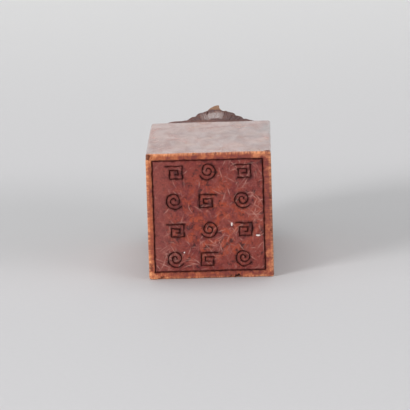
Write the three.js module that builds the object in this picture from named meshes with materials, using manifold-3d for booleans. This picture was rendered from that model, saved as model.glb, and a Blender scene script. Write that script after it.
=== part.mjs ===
// A carved soapstone seal stamp: a square shaft engraved on its stamping face, with a seated guardian
// lion as its knob. The knob is a second piece of stone, set into the shaft by a round tenon on a thin
// bed of mastic. Dark ink lies in the engraved lines.
//
// Everything is drawn as the seal stands when it stamps, with the stamping face at z = 0 and +Z up the
// shaft. The lion faces +Y. The finished seal is then laid down with the lion's back on top, the way it
// is put down between uses.
// All lengths are in millimetres and all angles in degrees.

import * as THREE from 'three';
import { mergeVertices } from 'three/addons/utils/BufferGeometryUtils.js';
import Module from 'manifold-3d';

const wasm = await Module();
wasm.setup();

// Driving dimensions of the shaft.
const shaftWidth = 25; // left to right
const shaftDepth = 25.4; // front to back: a hand-sawn blank, a little off square
const shaftLength = 42;
const cornerRadius = 0.5; // of the four long edges
const endBevel = 0.3; // of the edges round both ends

// The engraving of the stamping face, seen as it faces the viewer, with up towards the seal's back.
const groove = { width: 0.36, depth: 0.5 };
const inkFill = { thickness: 0.28, clearance: 0.03 }; // left dry at the bottom of each groove
const borderInset = { left: 1.3, right: 1.7, top: 1.42, bottom: 1.54 }; // to the line's middle
const fretRows = 4;
const fretColumns = 3;
const fretMargin = { across: 4.2, up: 2.4 }; // from the border line to the middle of the outer frets
const fretPitch = 0.85; // between neighbouring turns of one fret
const squareTurns = 7; // straight cuts in a square fret
const roundTurns = 1.9; // turns in a round fret

// The knob's seat on the shaft.
const tenon = { radius: 3, length: 6, bevel: 0.4 };
const socket = { clearance: 0.3, bottomGap: 0.5 };
const masticThickness = 0.3;
const masticInset = 0.15;

// The plinth that the lion sits on.
const plinthInset = 0.15; // from the shaft's faces
const plinthHeight = 3.6;
const plinthCornerRadius = 5;
const plinthBevel = 0.7;

// The lion on it. Its forms are drawn in a block of their own and fitted to the shaft and this height.
const lionHeight = 22.1; // from the plinth's top to the tip of the tail, which stands highest
const lionFoot = 0.2; // its forms run this far down into the plinth
const lionBlock = { width: 25, depth: 25.2, height: 23.1 };

// The lion's large forms are ellipsoids, and smaller ones are seated on them by direction.
// Those with an x are drawn on its +X side and mirrored to the other.
const torso = { centre: [0, -3.4, 7], radii: [6.2, 6.8, 7.2] };
const chest = { centre: [0, 2.4, 8], radii: [5.4, 4.6, 5.8] };
const mane = { centre: [0, -2.2, 13], radii: [7.1, 6.7, 6.4] };
const haunch = { centre: [6, -4.6, 4.8], radii: [4.2, 5.4, 4.8] };
const skull = { centre: [0, 1.8, 15.8], radii: [5.6, 5.4, 5.2] };
const forehead = { centre: [0, 5.4, 19.3], radii: [1.9, 1.6, 1.5] };
const bridge = { centre: [0, 6.4, 16.5], radii: [1.5, 2.2, 1.4] };
const nose = { centre: [0, 8.7, 15.3], radii: [2, 1.3, 1.1] };
const nostril = { centre: [1.45, 8.8, 15], radii: [0.85, 0.9, 0.75] };
const muzzle = { centre: [0, 6.2, 13.8], radii: [4, 3, 1.9] };
const lip = { centre: [2.2, 7.9, 13.1], radii: [2, 1.7, 1.35] };
const cheek = { centre: [4.5, 4.8, 13], radii: [1.8, 2, 2.3] };
const tongue = { centre: [0, 6.3, 11.6], radii: [1.7, 2.4, 0.55] };
const jaw = { centre: [0, 5.5, 10.6], radii: [3.3, 2.9, 1.2] };
const chin = { centre: jaw.centre, radii: [3.7, 3.2, 1.9] }; // only seats the beard's curls
const eyeRadii = [1.5, 1.4, 1.4];
const tailBack = lionBlock.depth / 2 - 0.15; // the tail reaches almost as far back as the shaft
const tailLean = 0.9; // of the whole tail, towards +X

// Curls and eyes are seated on the forms by direction: azimuth 0 is the lion's front and 90 its +X side.
const haunchCurl = { azimuth: 100, elevation: 8, radius: 2.2, height: 0.7 };
const browCurl = { azimuth: 66, elevation: 26, radius: 1.3, height: 0.9 };
const browRidge = { inner: [14, 36], outer: [62, 34], sink: 0.1, radii: [1, 0.8] };
const eyeSeat = { azimuth: 33, elevation: 15, sink: 0.3 };
const beardMiddleCurl = { azimuth: 0, elevation: -25, radius: 1.4, height: 0.9 };
const beardSideCurl = { azimuth: 62, elevation: -8, radius: 1.5, height: 1 };
const maneCurl = { radius: 2, height: 1.2 };
const maneRows = [
  { on: skull, elevation: 62, first: 50, count: 4 },
  { on: mane, elevation: 40, first: 78, count: 6 },
  { on: mane, elevation: 8, first: 62, count: 7 },
  { on: mane, elevation: -26, first: 54, count: 7 },
];

// The limbs and locks of the lion's +X side.
const frontLeg = { from: [4.4, 2.6, 9], to: [4.6, 7, 2.6], fromRadius: 2.8, toRadius: 1.9 };
const fang = { from: [2.5, 8.3, 12.4], to: [2.4, 8.4, 10.9], fromRadius: 0.55, toRadius: 0.25 };
const frontPaw = { x: 4.7, y: 7.9, halfWidth: 2.6, halfLength: 2.9 };
const hindPaw = { x: 7.9, y: 1.4, halfWidth: 2.3, halfLength: 3.8 };
const pawHeight = 1.7;
const elbowLock = [
  { at: [6.2, 3.4, 5.6], width: 1.5, thickness: 1 },
  { at: [7.4, 1.6, 7.6], width: 1.5, thickness: 0.9 },
  { at: [7.9, -0.4, 10.2], width: 0.6, thickness: 0.5 },
  { at: [7.9, -0.9, 11.6], width: 0.1, thickness: 0.1 },
];
const ear = [
  { at: [4.2, 1.6, 18.2], width: 1.5, thickness: 0.9 },
  { at: [6.2, 0.9, 18.9], width: 1.9, thickness: 0.8 },
  { at: [8, -0.4, 19.6], width: 1.1, thickness: 0.6 },
  { at: [9.2, -1.4, 20.4], width: 0.1, thickness: 0.1 },
];

// The tail's flames, by stations from its middle line with half widths. A flame is twice its depth
// thick, reaches out behind the shaft's face by this much, and is carved off level with it or sunk.
const tailMound = {
  stations: [
    { x: 0.1, z: -0.6, width: 7.6 },
    { x: 0.1, z: 1, width: 7.4 },
    { x: 0.1, z: 3.4, width: 6.6 },
    { x: 0, z: 6.5, width: 5.8 },
    { x: 0, z: 9.6, width: 4.9 },
    { x: 0, z: 12.5, width: 4.2 },
    { x: 0, z: 15, width: 3.2 },
    { x: 0, z: 18.5, width: 1.5, thin: 0.8 },
  ],
  depth: 2.4,
  behind: 0.6,
  sunk: 0.4,
  sides: 14,
  rings: 9,
};
const tallFlame = {
  stations: [
    { x: 0, z: -0.6, width: 1.5 },
    { x: 0, z: 3, width: 1.6 },
    { x: 0, z: 7, width: 1.9 },
    { x: 0, z: 11, width: 2.2 },
    { x: -0.1, z: 14, width: 2.3 },
    { x: -0.2, z: 17, width: 1.9, thin: 0.9 },
    { x: -0.1, z: 20, width: 1.1, thin: 0.7 },
    { x: 0.2, z: lionBlock.height, width: 0.2, thin: 0.2 },
  ],
  depth: 2,
  behind: 0.3,
  rings: 12,
};
const lowerFlame = { depth: 1.6, behind: 0.35 };
const lowerFlames = [
  { root: 2.4, belly: 3.1, tip: { x: 1.9, z: 16.8 }, width: 1.5 },
  { root: 4.4, belly: 4.6, tip: { x: 3.6, z: 10 }, width: 1.5 },
  { root: 6.4, belly: 6.2, tip: { x: 5.4, z: 5.4 }, width: 1.3 },
];

// Facets of the swelling forms, by size, and round the tenon and its socket.
const FINE = 3;
const MEDIUM = 2;
const SMALL = 1;
const ROUND_SIDES = 28;

const stone = new THREE.MeshStandardMaterial({ color: 0x8a4636, roughness: 0.35, metalness: 0 });
const knobStone = new THREE.MeshStandardMaterial({ color: 0x6e4034, roughness: 0.4, metalness: 0 });
const ink = new THREE.MeshStandardMaterial({ color: 0x241a1a, roughness: 0.8, metalness: 0 });
const mastic = new THREE.MeshStandardMaterial({ color: 0x2e1d16, roughness: 0.6, metalness: 0 });

const radians = THREE.MathUtils.degToRad;
const vector = (x, y, z) => new THREE.Vector3(x, y, z);

// A closed geometry as a solid that can be cut and joined.
function solidOf(geometry) {
  const bare = geometry.index ? geometry.toNonIndexed() : geometry.clone();
  for (const name of Object.keys(bare.attributes)) {
    if (name !== 'position') bare.deleteAttribute(name);
  }
  const merged = mergeVertices(bare, 1e-4);
  return new wasm.Manifold(new wasm.Mesh({
    numProp: 3,
    vertProperties: new Float32Array(merged.attributes.position.array),
    triVerts: new Uint32Array(merged.index.array),
  }));
}

// A solid back as a geometry, with flat faces.
function geometryOf(solid) {
  const mesh = solid.getMesh();
  const geometry = new THREE.BufferGeometry();
  geometry.setAttribute('position', new THREE.BufferAttribute(mesh.vertProperties, mesh.numProp));
  geometry.setIndex(new THREE.BufferAttribute(mesh.triVerts, 1));
  const flat = geometry.toNonIndexed();
  flat.computeVertexNormals();
  return flat;
}

const joined = (solids) => solids.reduce((whole, piece) => whole.add(piece));

// A rectangle with rounded corners, centred on the origin.
function roundedRectangle(width, depth, radius) {
  const [x, y] = [width / 2, depth / 2];
  const shape = new THREE.Shape();
  shape.moveTo(-x + radius, -y);
  shape.lineTo(x - radius, -y);
  shape.absarc(x - radius, -y + radius, radius, -Math.PI / 2, 0);
  shape.lineTo(x, y - radius);
  shape.absarc(x - radius, y - radius, radius, 0, Math.PI / 2);
  shape.lineTo(-x + radius, y);
  shape.absarc(-x + radius, y - radius, radius, Math.PI / 2, Math.PI);
  shape.lineTo(-x, -y + radius);
  shape.absarc(-x + radius, -y + radius, radius, Math.PI, Math.PI * 1.5);
  return shape;
}

// A shape raised from z = low to z = high, with its outline drawn in by a bevel at both ends.
function raised(shape, low, high, bevel = 0, curveSegments = 4) {
  const geometry = new THREE.ExtrudeGeometry(shape, {
    depth: high - low - 2 * bevel,
    bevelEnabled: bevel > 0,
    bevelSize: bevel,
    bevelOffset: -bevel,
    bevelThickness: bevel,
    bevelSegments: 2,
    curveSegments,
  });
  return geometry.translate(0, 0, low + bevel);
}

// The engraved face is drawn with up towards the seal's back, which is -Y while the seal stands.
const onFace = ([across, up]) => new THREE.Vector2(across, -up);

// The outline of a cut of one width that follows a line of points.
function strokeOutline(points, width) {
  const sides = [[], []];
  points.forEach((point, i) => {
    const before = points[Math.max(i - 1, 0)];
    const after = points[Math.min(i + 1, points.length - 1)];
    const along = (a, b) => new THREE.Vector2(b[0] - a[0], b[1] - a[1]).normalize();
    const first = i === 0 ? along(point, after) : along(before, point);
    const second = i === points.length - 1 ? first : along(point, after);
    const mitre = first.clone().add(second).normalize();
    const reach = width / 2 / mitre.dot(first);
    sides[0].push([point[0] - mitre.y * reach, point[1] + mitre.x * reach]);
    sides[1].unshift([point[0] + mitre.y * reach, point[1] - mitre.x * reach]);
  });
  return [...sides[0], ...sides[1]];
}

// A square spiral, each pair of cuts one pitch longer than the last.
function squareFret() {
  const points = [[0, 0]];
  for (let cut = 0; cut < squareTurns; cut += 1) {
    const length = fretPitch * Math.ceil((cut + 1) / 2);
    const turn = radians(90 * cut);
    const [x, y] = points.at(-1);
    points.push([x + length * Math.cos(turn), y + length * Math.sin(turn)]);
  }
  return centred(points);
}

// A round spiral that opens by one pitch a turn.
function roundFret() {
  const stepsPerTurn = 9;
  const steps = Math.round(roundTurns * stepsPerTurn);
  const points = [];
  for (let step = 0; step <= steps; step += 1) {
    const turns = (step / steps) * roundTurns;
    const radius = fretPitch * (0.3 + turns);
    const turn = radians(360 * turns);
    points.push([radius * Math.cos(turn), radius * Math.sin(turn)]);
  }
  return centred(points);
}

function centred(points) {
  const box = new THREE.Box2().setFromPoints(points.map(([x, y]) => new THREE.Vector2(x, y)));
  const middle = box.getCenter(new THREE.Vector2());
  return points.map(([x, y]) => [x - middle.x, y - middle.y]);
}

// The space inside the border line: its middle, and the step from one fret to the next.
const framed = {
  across: (borderInset.left - borderInset.right) / 2,
  up: (borderInset.bottom - borderInset.top) / 2,
  width: shaftWidth - borderInset.left - borderInset.right,
  height: shaftDepth - borderInset.top - borderInset.bottom,
};
const fretStep = {
  across: (framed.width - 2 * fretMargin.across) / (fretColumns - 1),
  up: (framed.height - 2 * fretMargin.up) / (fretRows - 1),
};

// Every fret of the face: square and round ones take turns along the rows and up the columns.
function fretPlaces() {
  const places = [];
  for (let row = 0; row < fretRows; row += 1) {
    for (let column = 0; column < fretColumns; column += 1) {
      const round = (row + column) % 2 === 1;
      const mirror = column % 2 === 1 ? -1 : 1;
      const across = framed.across + (column - (fretColumns - 1) / 2) * fretStep.across;
      const up = framed.up + ((fretRows - 1) / 2 - row) * fretStep.up;
      const line = round ? roundFret() : squareFret();
      places.push({
        name: `ink_${round ? 'round' : 'square'}_fret_row_${row + 1}_column_${column + 1}`,
        line: line.map(([x, y]) => [across + mirror * x, up + y]),
      });
    }
  }
  return places;
}

// A cut, or the ink in it, along a line of the face: from z = low to z = high.
function strokeSolid(line, width, low, high) {
  const shape = new THREE.Shape(strokeOutline(line, width).map(onFace));
  return solidOf(raised(shape, low, high));
}

// The border line as a square ring.
function borderSolid(width, low, high) {
  const rectangle = (grow) => {
    const left = -shaftWidth / 2 + borderInset.left - grow;
    const right = shaftWidth / 2 - borderInset.right + grow;
    const top = shaftDepth / 2 - borderInset.top + grow;
    const bottom = -shaftDepth / 2 + borderInset.bottom - grow;
    return [[left, bottom], [left, top], [right, top], [right, bottom]].map(onFace);
  };
  const shape = new THREE.Shape(rectangle(width / 2));
  shape.holes.push(new THREE.Path(rectangle(-width / 2)));
  return solidOf(raised(shape, low, high));
}

// Ink lies on the groove's floor and stops short of its walls.
const inkWidth = groove.width - 2 * inkFill.clearance;
const inkFloor = groove.depth;
const inkTop = groove.depth - inkFill.thickness;

const seatHeight = shaftLength + masticThickness;
const plinthWidth = shaftWidth - 2 * plinthInset;
const plinthDepth = shaftDepth - 2 * plinthInset;

// A round peg standing on z = low, with its far edge bevelled.
function peg(radius, low, high, bevel) {
  const profile = [[0, low], [radius - bevel, low], [radius, low + bevel], [radius, high], [0, high]];
  const points = profile.map(([r, z]) => new THREE.Vector2(r, z));
  return solidOf(new THREE.LatheGeometry(points, ROUND_SIDES).rotateX(Math.PI / 2));
}

function shaftSolid() {
  const outline = roundedRectangle(shaftWidth, shaftDepth, cornerRadius);
  const overcut = 1; // cutters start this far outside the stone, so that they open it cleanly
  const cuts = [borderSolid(groove.width, -overcut, groove.depth)];
  for (const { line } of fretPlaces()) {
    cuts.push(strokeSolid(line, groove.width, -overcut, groove.depth));
  }
  const socketFloor = shaftLength - tenon.length + masticThickness - socket.bottomGap;
  cuts.push(peg(tenon.radius + socket.clearance, socketFloor, shaftLength + overcut, tenon.bevel));
  return cuts.reduce(
    (whole, cut) => whole.subtract(cut),
    solidOf(raised(outline, 0, shaftLength, endBevel)),
  );
}

function masticSolid() {
  const shape = roundedRectangle(
    plinthWidth - 2 * (masticInset + plinthBevel / 2),
    plinthDepth - 2 * (masticInset + plinthBevel / 2),
    plinthCornerRadius,
  );
  const hole = new THREE.Path();
  hole.absarc(0, 0, tenon.radius + socket.clearance, 0, Math.PI * 2, true);
  shape.holes.push(hole);
  return solidOf(raised(shape, shaftLength, seatHeight, 0, 6));
}

// A form drawn in the lion's block, fitted to its place on the plinth.
function carved(geometry) {
  const fitted = geometry.scale(
    shaftWidth / lionBlock.width,
    shaftDepth / lionBlock.depth,
    (lionHeight + lionFoot) / lionBlock.height,
  );
  return solidOf(fitted.translate(0, 0, seatHeight + plinthHeight - lionFoot));
}

// A swelling form, such as a haunch or a brow.
function swelling({ centre, radii }, subdivision = MEDIUM) {
  const geometry = new THREE.IcosahedronGeometry(1, subdivision);
  return carved(geometry.scale(...radii).translate(...centre));
}

// A small round form, such as a toe.
function bead({ centre, radii }) {
  return carved(new THREE.SphereGeometry(1, 7, 4).scale(...radii).translate(...centre));
}

const mirrored = ({ centre: [x, y, z], radii }, side) => ({ centre: [side * x, y, z], radii });

// A point of a form's surface and the outward direction there. Azimuth 0 faces the lion's front and
// 90 its +X side; sink draws the point in from the surface.
function seatOn({ centre, radii }, azimuth, elevation, sink = 0) {
  const [turn, tilt] = [radians(azimuth), radians(elevation)];
  const ray = vector(Math.sin(turn) * Math.cos(tilt), Math.cos(turn) * Math.cos(tilt), Math.sin(tilt));
  const outward = ray.clone().divide(vector(...radii)).normalize();
  const point = ray.multiply(vector(...radii)).add(vector(...centre)).addScaledVector(outward, -sink);
  return { point, outward };
}

// A tapered limb with round ends, from one point to another.
function limb(from, to, fromRadius, toRadius, sides = 12) {
  const [start, end] = [vector(...from), vector(...to)];
  const length = start.distanceTo(end);
  const points = [];
  const steps = 2;
  for (let i = 0; i <= steps; i += 1) {
    const angle = radians(90 * (i / steps));
    points.push(new THREE.Vector2(fromRadius * Math.sin(angle), -fromRadius * Math.cos(angle)));
  }
  for (let i = steps; i >= 0; i -= 1) {
    const angle = radians(90 * (i / steps));
    points.push(new THREE.Vector2(toRadius * Math.sin(angle), length + toRadius * Math.cos(angle)));
  }
  points[0].x = 0;
  points.at(-1).x = 0;
  const geometry = new THREE.LatheGeometry(points, sides);
  const turn = new THREE.Quaternion().setFromUnitVectors(
    vector(0, 1, 0),
    end.clone().sub(start).normalize(),
  );
  return carved(geometry.applyQuaternion(turn).translate(start.x, start.y, start.z));
}

// A snail curl, as carvers cut a lion's mane: a round boss with a smaller turn standing on it.
function curl({ point, outward }, radius, height, sides = 8) {
  const profile = [
    [0, -radius], [radius * 0.9, -radius * 0.6], [radius, height * 0.25], [radius * 0.62, height * 0.6],
    [radius * 0.42, height], [0, height * 1.05],
  ];
  const points = profile.map(([r, z]) => new THREE.Vector2(r, z));
  const turn = new THREE.Quaternion().setFromUnitVectors(vector(0, 1, 0), outward);
  const geometry = new THREE.LatheGeometry(points, sides).applyQuaternion(turn);
  return carved(geometry.translate(point.x, point.y, point.z));
}

// A flame-shaped lock: an oval section that runs along a curve and narrows to a point.
// Each station of the curve gives a place, a half width across it and a half thickness.
// What would stand out behind flatAt is carved off level with it.
function lock(stations, wide, { sides = 8, rings = 6, flatAt = -lionBlock.depth } = {}) {
  const path = new THREE.CatmullRomCurve3(stations.map(({ at }) => vector(...at)));
  const last = stations.length - 1;
  const between = (t, key) => {
    const place = Math.min(t * last, last - 1e-6);
    const i = Math.floor(place);
    return THREE.MathUtils.lerp(stations[i][key], stations[i + 1][key], place - i);
  };
  const positions = [];
  const indices = [];
  for (let ring = 0; ring < rings; ring += 1) {
    const t = ring / rings;
    const centre = path.getPoint(t);
    const along = path.getTangent(t);
    const across = wide.clone().addScaledVector(along, -wide.dot(along)).normalize();
    const through = along.clone().cross(across);
    for (let side = 0; side < sides; side += 1) {
      const angle = (side / sides) * Math.PI * 2;
      const point = centre.clone()
        .addScaledVector(across, Math.cos(angle) * between(t, 'width'))
        .addScaledVector(through, Math.sin(angle) * between(t, 'thickness'));
      positions.push(point.x, Math.max(point.y, flatAt), point.z);
    }
  }
  const root = positions.length / 3;
  positions.push(...path.getPoint(0).toArray(), ...path.getPoint(1).toArray());
  const tip = root + 1;
  for (let side = 0; side < sides; side += 1) {
    const next = (side + 1) % sides;
    indices.push(root, next, side);
    for (let ring = 0; ring < rings - 1; ring += 1) {
      const [low, high] = [ring * sides, (ring + 1) * sides];
      indices.push(low + side, low + next, high + next, low + side, high + next, high + side);
    }
    const top = (rings - 1) * sides;
    indices.push(top + side, top + next, tip);
  }
  const geometry = new THREE.BufferGeometry();
  geometry.setAttribute('position', new THREE.Float32BufferAttribute(positions, 3));
  geometry.setIndex(indices);
  return carved(geometry);
}

const bothSides = (make) => [-1, 1].flatMap((side) => make(side));
const acrossTo = ([x, y, z], side) => [side * x, y, z];

function limbOn(side, { from, to, fromRadius, toRadius }, sides) {
  return limb(acrossTo(from, side), acrossTo(to, side), fromRadius, toRadius, sides);
}

function lockOn(side, stations, wide) {
  return lock(stations.map((station) => ({ ...station, at: acrossTo(station.at, side) })), wide);
}

function curlOn(form, { azimuth, elevation, radius, height }, side = 1) {
  return curl(seatOn(form, side * azimuth, elevation), radius, height);
}

// A broad paw with three round toes.
function paw(side, { x, y, halfWidth, halfLength }) {
  const pad = { centre: [side * x, y, pawHeight * 0.9], radii: [halfWidth, halfLength, pawHeight] };
  const toes = [-1, 0, 1].map((place) => ({
    centre: [
      side * x + place * halfWidth * 0.68,
      y + halfLength * (0.92 - 0.16 * place * place),
      pawHeight * 0.62,
    ],
    radii: [halfWidth * 0.4, halfWidth * 0.44, pawHeight * 0.68],
  }));
  return [swelling(pad, SMALL), ...toes.map(bead)];
}

// The torso on its haunches, the four legs, and a lock of hair behind each elbow.
function body() {
  return [
    swelling(torso, FINE),
    swelling(chest, MEDIUM),
    swelling(mane, FINE),
    ...bothSides((side) => [
      swelling(mirrored(haunch, side), MEDIUM),
      curlOn(mirrored(haunch, side), haunchCurl, side),
      limbOn(side, frontLeg),
      ...paw(side, frontPaw),
      ...paw(side, hindPaw),
      lockOn(side, elbowLock, vector(0, 1, 0)),
    ]),
  ];
}

// A brow ridge over the eye, with a curl at its outer end.
function brow(side) {
  const [inner, outer] = [browRidge.inner, browRidge.outer].map(([azimuth, elevation]) => (
    seatOn(skull, side * azimuth, elevation, browRidge.sink).point.toArray()
  ));
  return [limb(inner, outer, ...browRidge.radii, 8), curlOn(skull, browCurl, side)];
}

function eye(side) {
  const { azimuth, elevation, sink } = eyeSeat;
  const centre = seatOn(skull, side * azimuth, elevation, sink).point.toArray();
  return swelling({ centre, radii: eyeRadii }, SMALL);
}

// The head, with its mouth open and three curls of beard under the jaw.
function head() {
  return [
    swelling(skull, FINE),
    ...[muzzle, jaw].map((form) => swelling(form, MEDIUM)),
    ...[forehead, bridge, nose, tongue].map((form) => swelling(form, SMALL)),
    curlOn(chin, beardMiddleCurl),
    ...bothSides((side) => [
      eye(side),
      ...brow(side),
      lockOn(side, ear, vector(0, 0, 1)),
      limbOn(side, fang, 5),
      swelling(mirrored(lip, side), SMALL),
      swelling(mirrored(cheek, side), SMALL),
      bead(mirrored(nostril, side)),
      curlOn(chin, beardSideCurl, side),
    ]),
  ];
}

// Rows of snail curls over the mane. The angle from the lion's front to the first curl of a row is the
// same on both sides of the head.
function maneCurls() {
  return maneRows.flatMap(({ on, elevation, first, count }) => (
    Array.from({ length: count }, (_, i) => {
      const azimuth = first + ((360 - 2 * first) * i) / (count - 1);
      return curlOn(on, { azimuth, elevation, ...maneCurl });
    })
  ));
}

// The tail spreads over the back as a broad mound, and its flames stand a little higher on it, level
// with the block's face: a tall one in the middle and three lower ones on each side.
function tail() {
  const flame = ({ stations, depth, behind, sunk = 0, sides = 10, rings = 7 }) => lock(
    stations.map(({ x, z, width, thin = 1 }) => ({
      at: [tailLean + x, -tailBack - behind + depth * thin, z],
      width,
      thickness: depth * thin,
    })),
    vector(1, 0, 0),
    { sides, rings, flatAt: sunk - tailBack },
  );
  const lower = (side, { root, belly, tip, width }) => flame({
    stations: [
      { x: side * root, z: -0.6, width: width * 0.8 },
      { x: side * belly, z: tip.z * 0.4, width },
      { x: side * belly, z: tip.z * 0.72, width: width * 0.8, thin: 0.9 },
      { x: side * tip.x, z: tip.z, width: 0.2, thin: 0.5 },
    ],
    ...lowerFlame,
  });
  return [
    flame(tailMound),
    flame(tallFlame),
    ...bothSides((side) => lowerFlames.map((each) => lower(side, each))),
  ];
}

// The plinth with the lion on it and the tenon under it, as one carved stone.
function knobSolid() {
  const outline = roundedRectangle(plinthWidth, plinthDepth, plinthCornerRadius);
  const plinth = solidOf(raised(outline, seatHeight, seatHeight + plinthHeight, plinthBevel, 6));
  const root = peg(tenon.radius, seatHeight - tenon.length, seatHeight + plinthHeight / 2, tenon.bevel);
  return joined([plinth, root, ...body(), ...head(), ...maneCurls(), ...tail()]);
}

const seal = new THREE.Group();
const add = (name, solid, material) => {
  const mesh = new THREE.Mesh(geometryOf(solid), material);
  mesh.name = name;
  seal.add(mesh);
};

add('shaft', shaftSolid(), stone);
add('mastic_bed', masticSolid(), mastic);
add('lion_knob', knobSolid(), knobStone);
add('ink_border_line', borderSolid(inkWidth, inkTop, inkFloor), ink);
for (const { name, line } of fretPlaces()) {
  add(name, strokeSolid(line, inkWidth, inkTop, inkFloor), ink);
}

// Lay the seal down, with the origin under the middle of its length.
const laidDown = new THREE.Group();
seal.rotation.x = -Math.PI / 2;
laidDown.add(seal);
laidDown.updateMatrixWorld(true);
const box = new THREE.Box3().setFromObject(laidDown, true);
const middle = box.getCenter(vector(0, 0, 0));
seal.position.set(-middle.x, -middle.y, -box.min.z);

export default laidDown;
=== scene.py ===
# Soapstone seal stamp, laid down: an engraved square shaft with a guardian lion carved as its knob.
import math

import bpy
import numpy as np
from mathutils import Matrix, Vector
from numpy.linalg import norm


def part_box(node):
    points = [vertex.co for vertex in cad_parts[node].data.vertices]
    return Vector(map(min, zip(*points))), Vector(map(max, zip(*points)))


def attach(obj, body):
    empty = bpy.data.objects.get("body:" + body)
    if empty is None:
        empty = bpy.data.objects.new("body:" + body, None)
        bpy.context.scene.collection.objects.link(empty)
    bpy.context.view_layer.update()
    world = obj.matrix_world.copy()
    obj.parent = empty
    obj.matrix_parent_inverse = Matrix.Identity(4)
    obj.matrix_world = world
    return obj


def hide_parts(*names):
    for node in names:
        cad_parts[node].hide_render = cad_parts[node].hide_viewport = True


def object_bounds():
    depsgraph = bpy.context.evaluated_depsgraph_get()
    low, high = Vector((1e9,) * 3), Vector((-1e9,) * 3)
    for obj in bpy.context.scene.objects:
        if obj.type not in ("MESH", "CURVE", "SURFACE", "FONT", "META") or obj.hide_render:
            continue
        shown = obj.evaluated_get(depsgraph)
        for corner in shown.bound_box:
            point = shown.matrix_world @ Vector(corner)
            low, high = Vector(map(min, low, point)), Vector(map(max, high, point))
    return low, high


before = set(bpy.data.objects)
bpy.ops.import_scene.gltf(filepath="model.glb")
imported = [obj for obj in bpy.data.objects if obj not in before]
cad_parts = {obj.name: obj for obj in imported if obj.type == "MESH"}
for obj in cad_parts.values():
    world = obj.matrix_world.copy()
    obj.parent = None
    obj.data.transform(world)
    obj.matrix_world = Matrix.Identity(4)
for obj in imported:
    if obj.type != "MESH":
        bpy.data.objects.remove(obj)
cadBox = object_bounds()
mm = 0.001  # everything is worked out in millimetres and scaled at the end
print("frame loaded")

# Small helpers for objects and meshes


def enter(mode):
    bpy.ops.object.mode_set(mode=mode)


def onlyThis(piece=None):
    # the operators work on what is selected, so only this piece is, or nothing
    if bpy.context.object and bpy.context.object.mode != "OBJECT":
        enter("OBJECT")
    bpy.ops.object.select_all(action="DESELECT")
    if piece:
        piece.select_set(True)
        bpy.context.view_layer.objects.active = piece


def added(primitive, centre, turn=(0, 0, 0), **settings):
    # one of Blender's primitives, with its centre in mm
    onlyThis()
    primitive(location=[c * mm for c in centre], rotation=turn, **settings)
    return bpy.context.object


def settle(piece, name):
    # the place goes into the mesh, and the object stays at the origin
    onlyThis(piece)
    bpy.ops.object.transform_apply(location=True, rotation=True, scale=True)
    piece.name = piece.data.name = name
    return piece


def joinAll(pieces, name):
    onlyThis(pieces[0])
    for piece in pieces[1:]:
        piece.select_set(True)
    bpy.ops.object.join()
    return settle(bpy.context.object, name)


def finishWith(piece, kind, **values):
    onlyThis(piece)
    modifier = piece.modifiers.new(kind.title(), kind)
    for key, value in values.items():
        setattr(modifier, key, value)
    bpy.ops.object.modifier_apply(modifier=modifier.name)


def onWhole(piece, operator, **settings):
    # one edit mode operator on the whole mesh
    onlyThis(piece)
    enter("EDIT")
    bpy.ops.mesh.select_all(action="SELECT")
    operator(**settings)
    enter("OBJECT")


def selectEdges(piece, chosen):
    # chosen says yes or no for every edge, and edit mode stays on for what comes next
    onlyThis(piece)
    enter("EDIT")
    bpy.ops.mesh.select_mode(type="EDGE")
    bpy.ops.mesh.select_all(action="DESELECT")
    enter("OBJECT")
    piece.data.edges.foreach_set("select", chosen)
    enter("EDIT")


def pushEdges(x, y, z):
    bpy.ops.mesh.extrude_edges_move(TRANSFORM_OT_translate={"value": (x, y, z)})


def tube(name, points, radii, resolution, closed=False):
    # a round tube through these points, in mm
    onlyThis()
    bpy.ops.curve.primitive_bezier_curve_add()
    curve = bpy.context.object.data
    curve.splines.clear()
    path = curve.splines.new("POLY")
    path.points.add(len(points) - 1)
    path.use_cyclic_u = closed
    for knot, (x, y, z), radius in zip(path.points, points, radii):
        knot.co = (x * mm, y * mm, z * mm, 1)
        knot.radius = radius
    curve.dimensions = "3D"
    curve.bevel_depth = mm
    curve.bevel_resolution = resolution
    curve.use_fill_caps = True
    bpy.ops.object.convert(target="MESH")
    return settle(bpy.context.object, name)


def readOff(parts, name, width, kind=float):
    flat = np.empty(len(parts) * width, dtype=kind)
    parts.foreach_get(name, flat)
    return flat.reshape(-1, width)


def pointsOf(piece):
    return readOff(piece.data.vertices, "co", 3) / mm


def normalsOf(piece):
    return readOff(piece.data.vertices, "normal", 3)


def edgesOf(piece):
    return readOff(piece.data.edges, "vertices", 2, np.int64)


def movePoints(piece, points):
    piece.data.vertices.foreach_set("co", (points * mm).ravel())
    piece.data.update()


def writeOn(piece, name, values):
    # one number a point, for the materials to read
    layer = piece.data.attributes.new(name, "FLOAT", "POINT")
    layer.data.foreach_set("value", np.asarray(values, dtype=np.float32))


def smoothShade(piece, angle):
    onlyThis(piece)
    bpy.ops.object.shade_smooth_by_angle(angle=math.radians(angle))


def handOver(piece, node, angle):
    # the finished piece takes the place of its node
    smoothShade(piece, angle)
    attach(piece, "root")
    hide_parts(node)
    return piece


def ramp(values, low, high):
    t = np.clip((values - low) / (high - low), 0, 1)
    return t * t * (3 - 2 * t)


def ripple(points, size, seed, waves=14):
    # smooth seeded unevenness, about -1 to 1, with swells of about this size in mm
    dice = np.random.default_rng(seed)
    total = np.zeros(len(points))
    for _ in range(waves):
        way = dice.normal(size=points.shape[1])
        way *= 2 * math.pi / size / norm(way) * dice.uniform(0.6, 1.7)
        total += np.cos(points @ way + dice.uniform(0, 2 * math.pi))
    return total / math.sqrt(waves)


def uneven(points, size, seed):
    # the same from 0 to 2, to be taken off a surface
    return 1 + np.clip(ripple(points, size, seed), -1, 1)


def within(points, low, high):
    return np.flatnonzero(((points > low) & (points < high)).all(axis=1))


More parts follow.
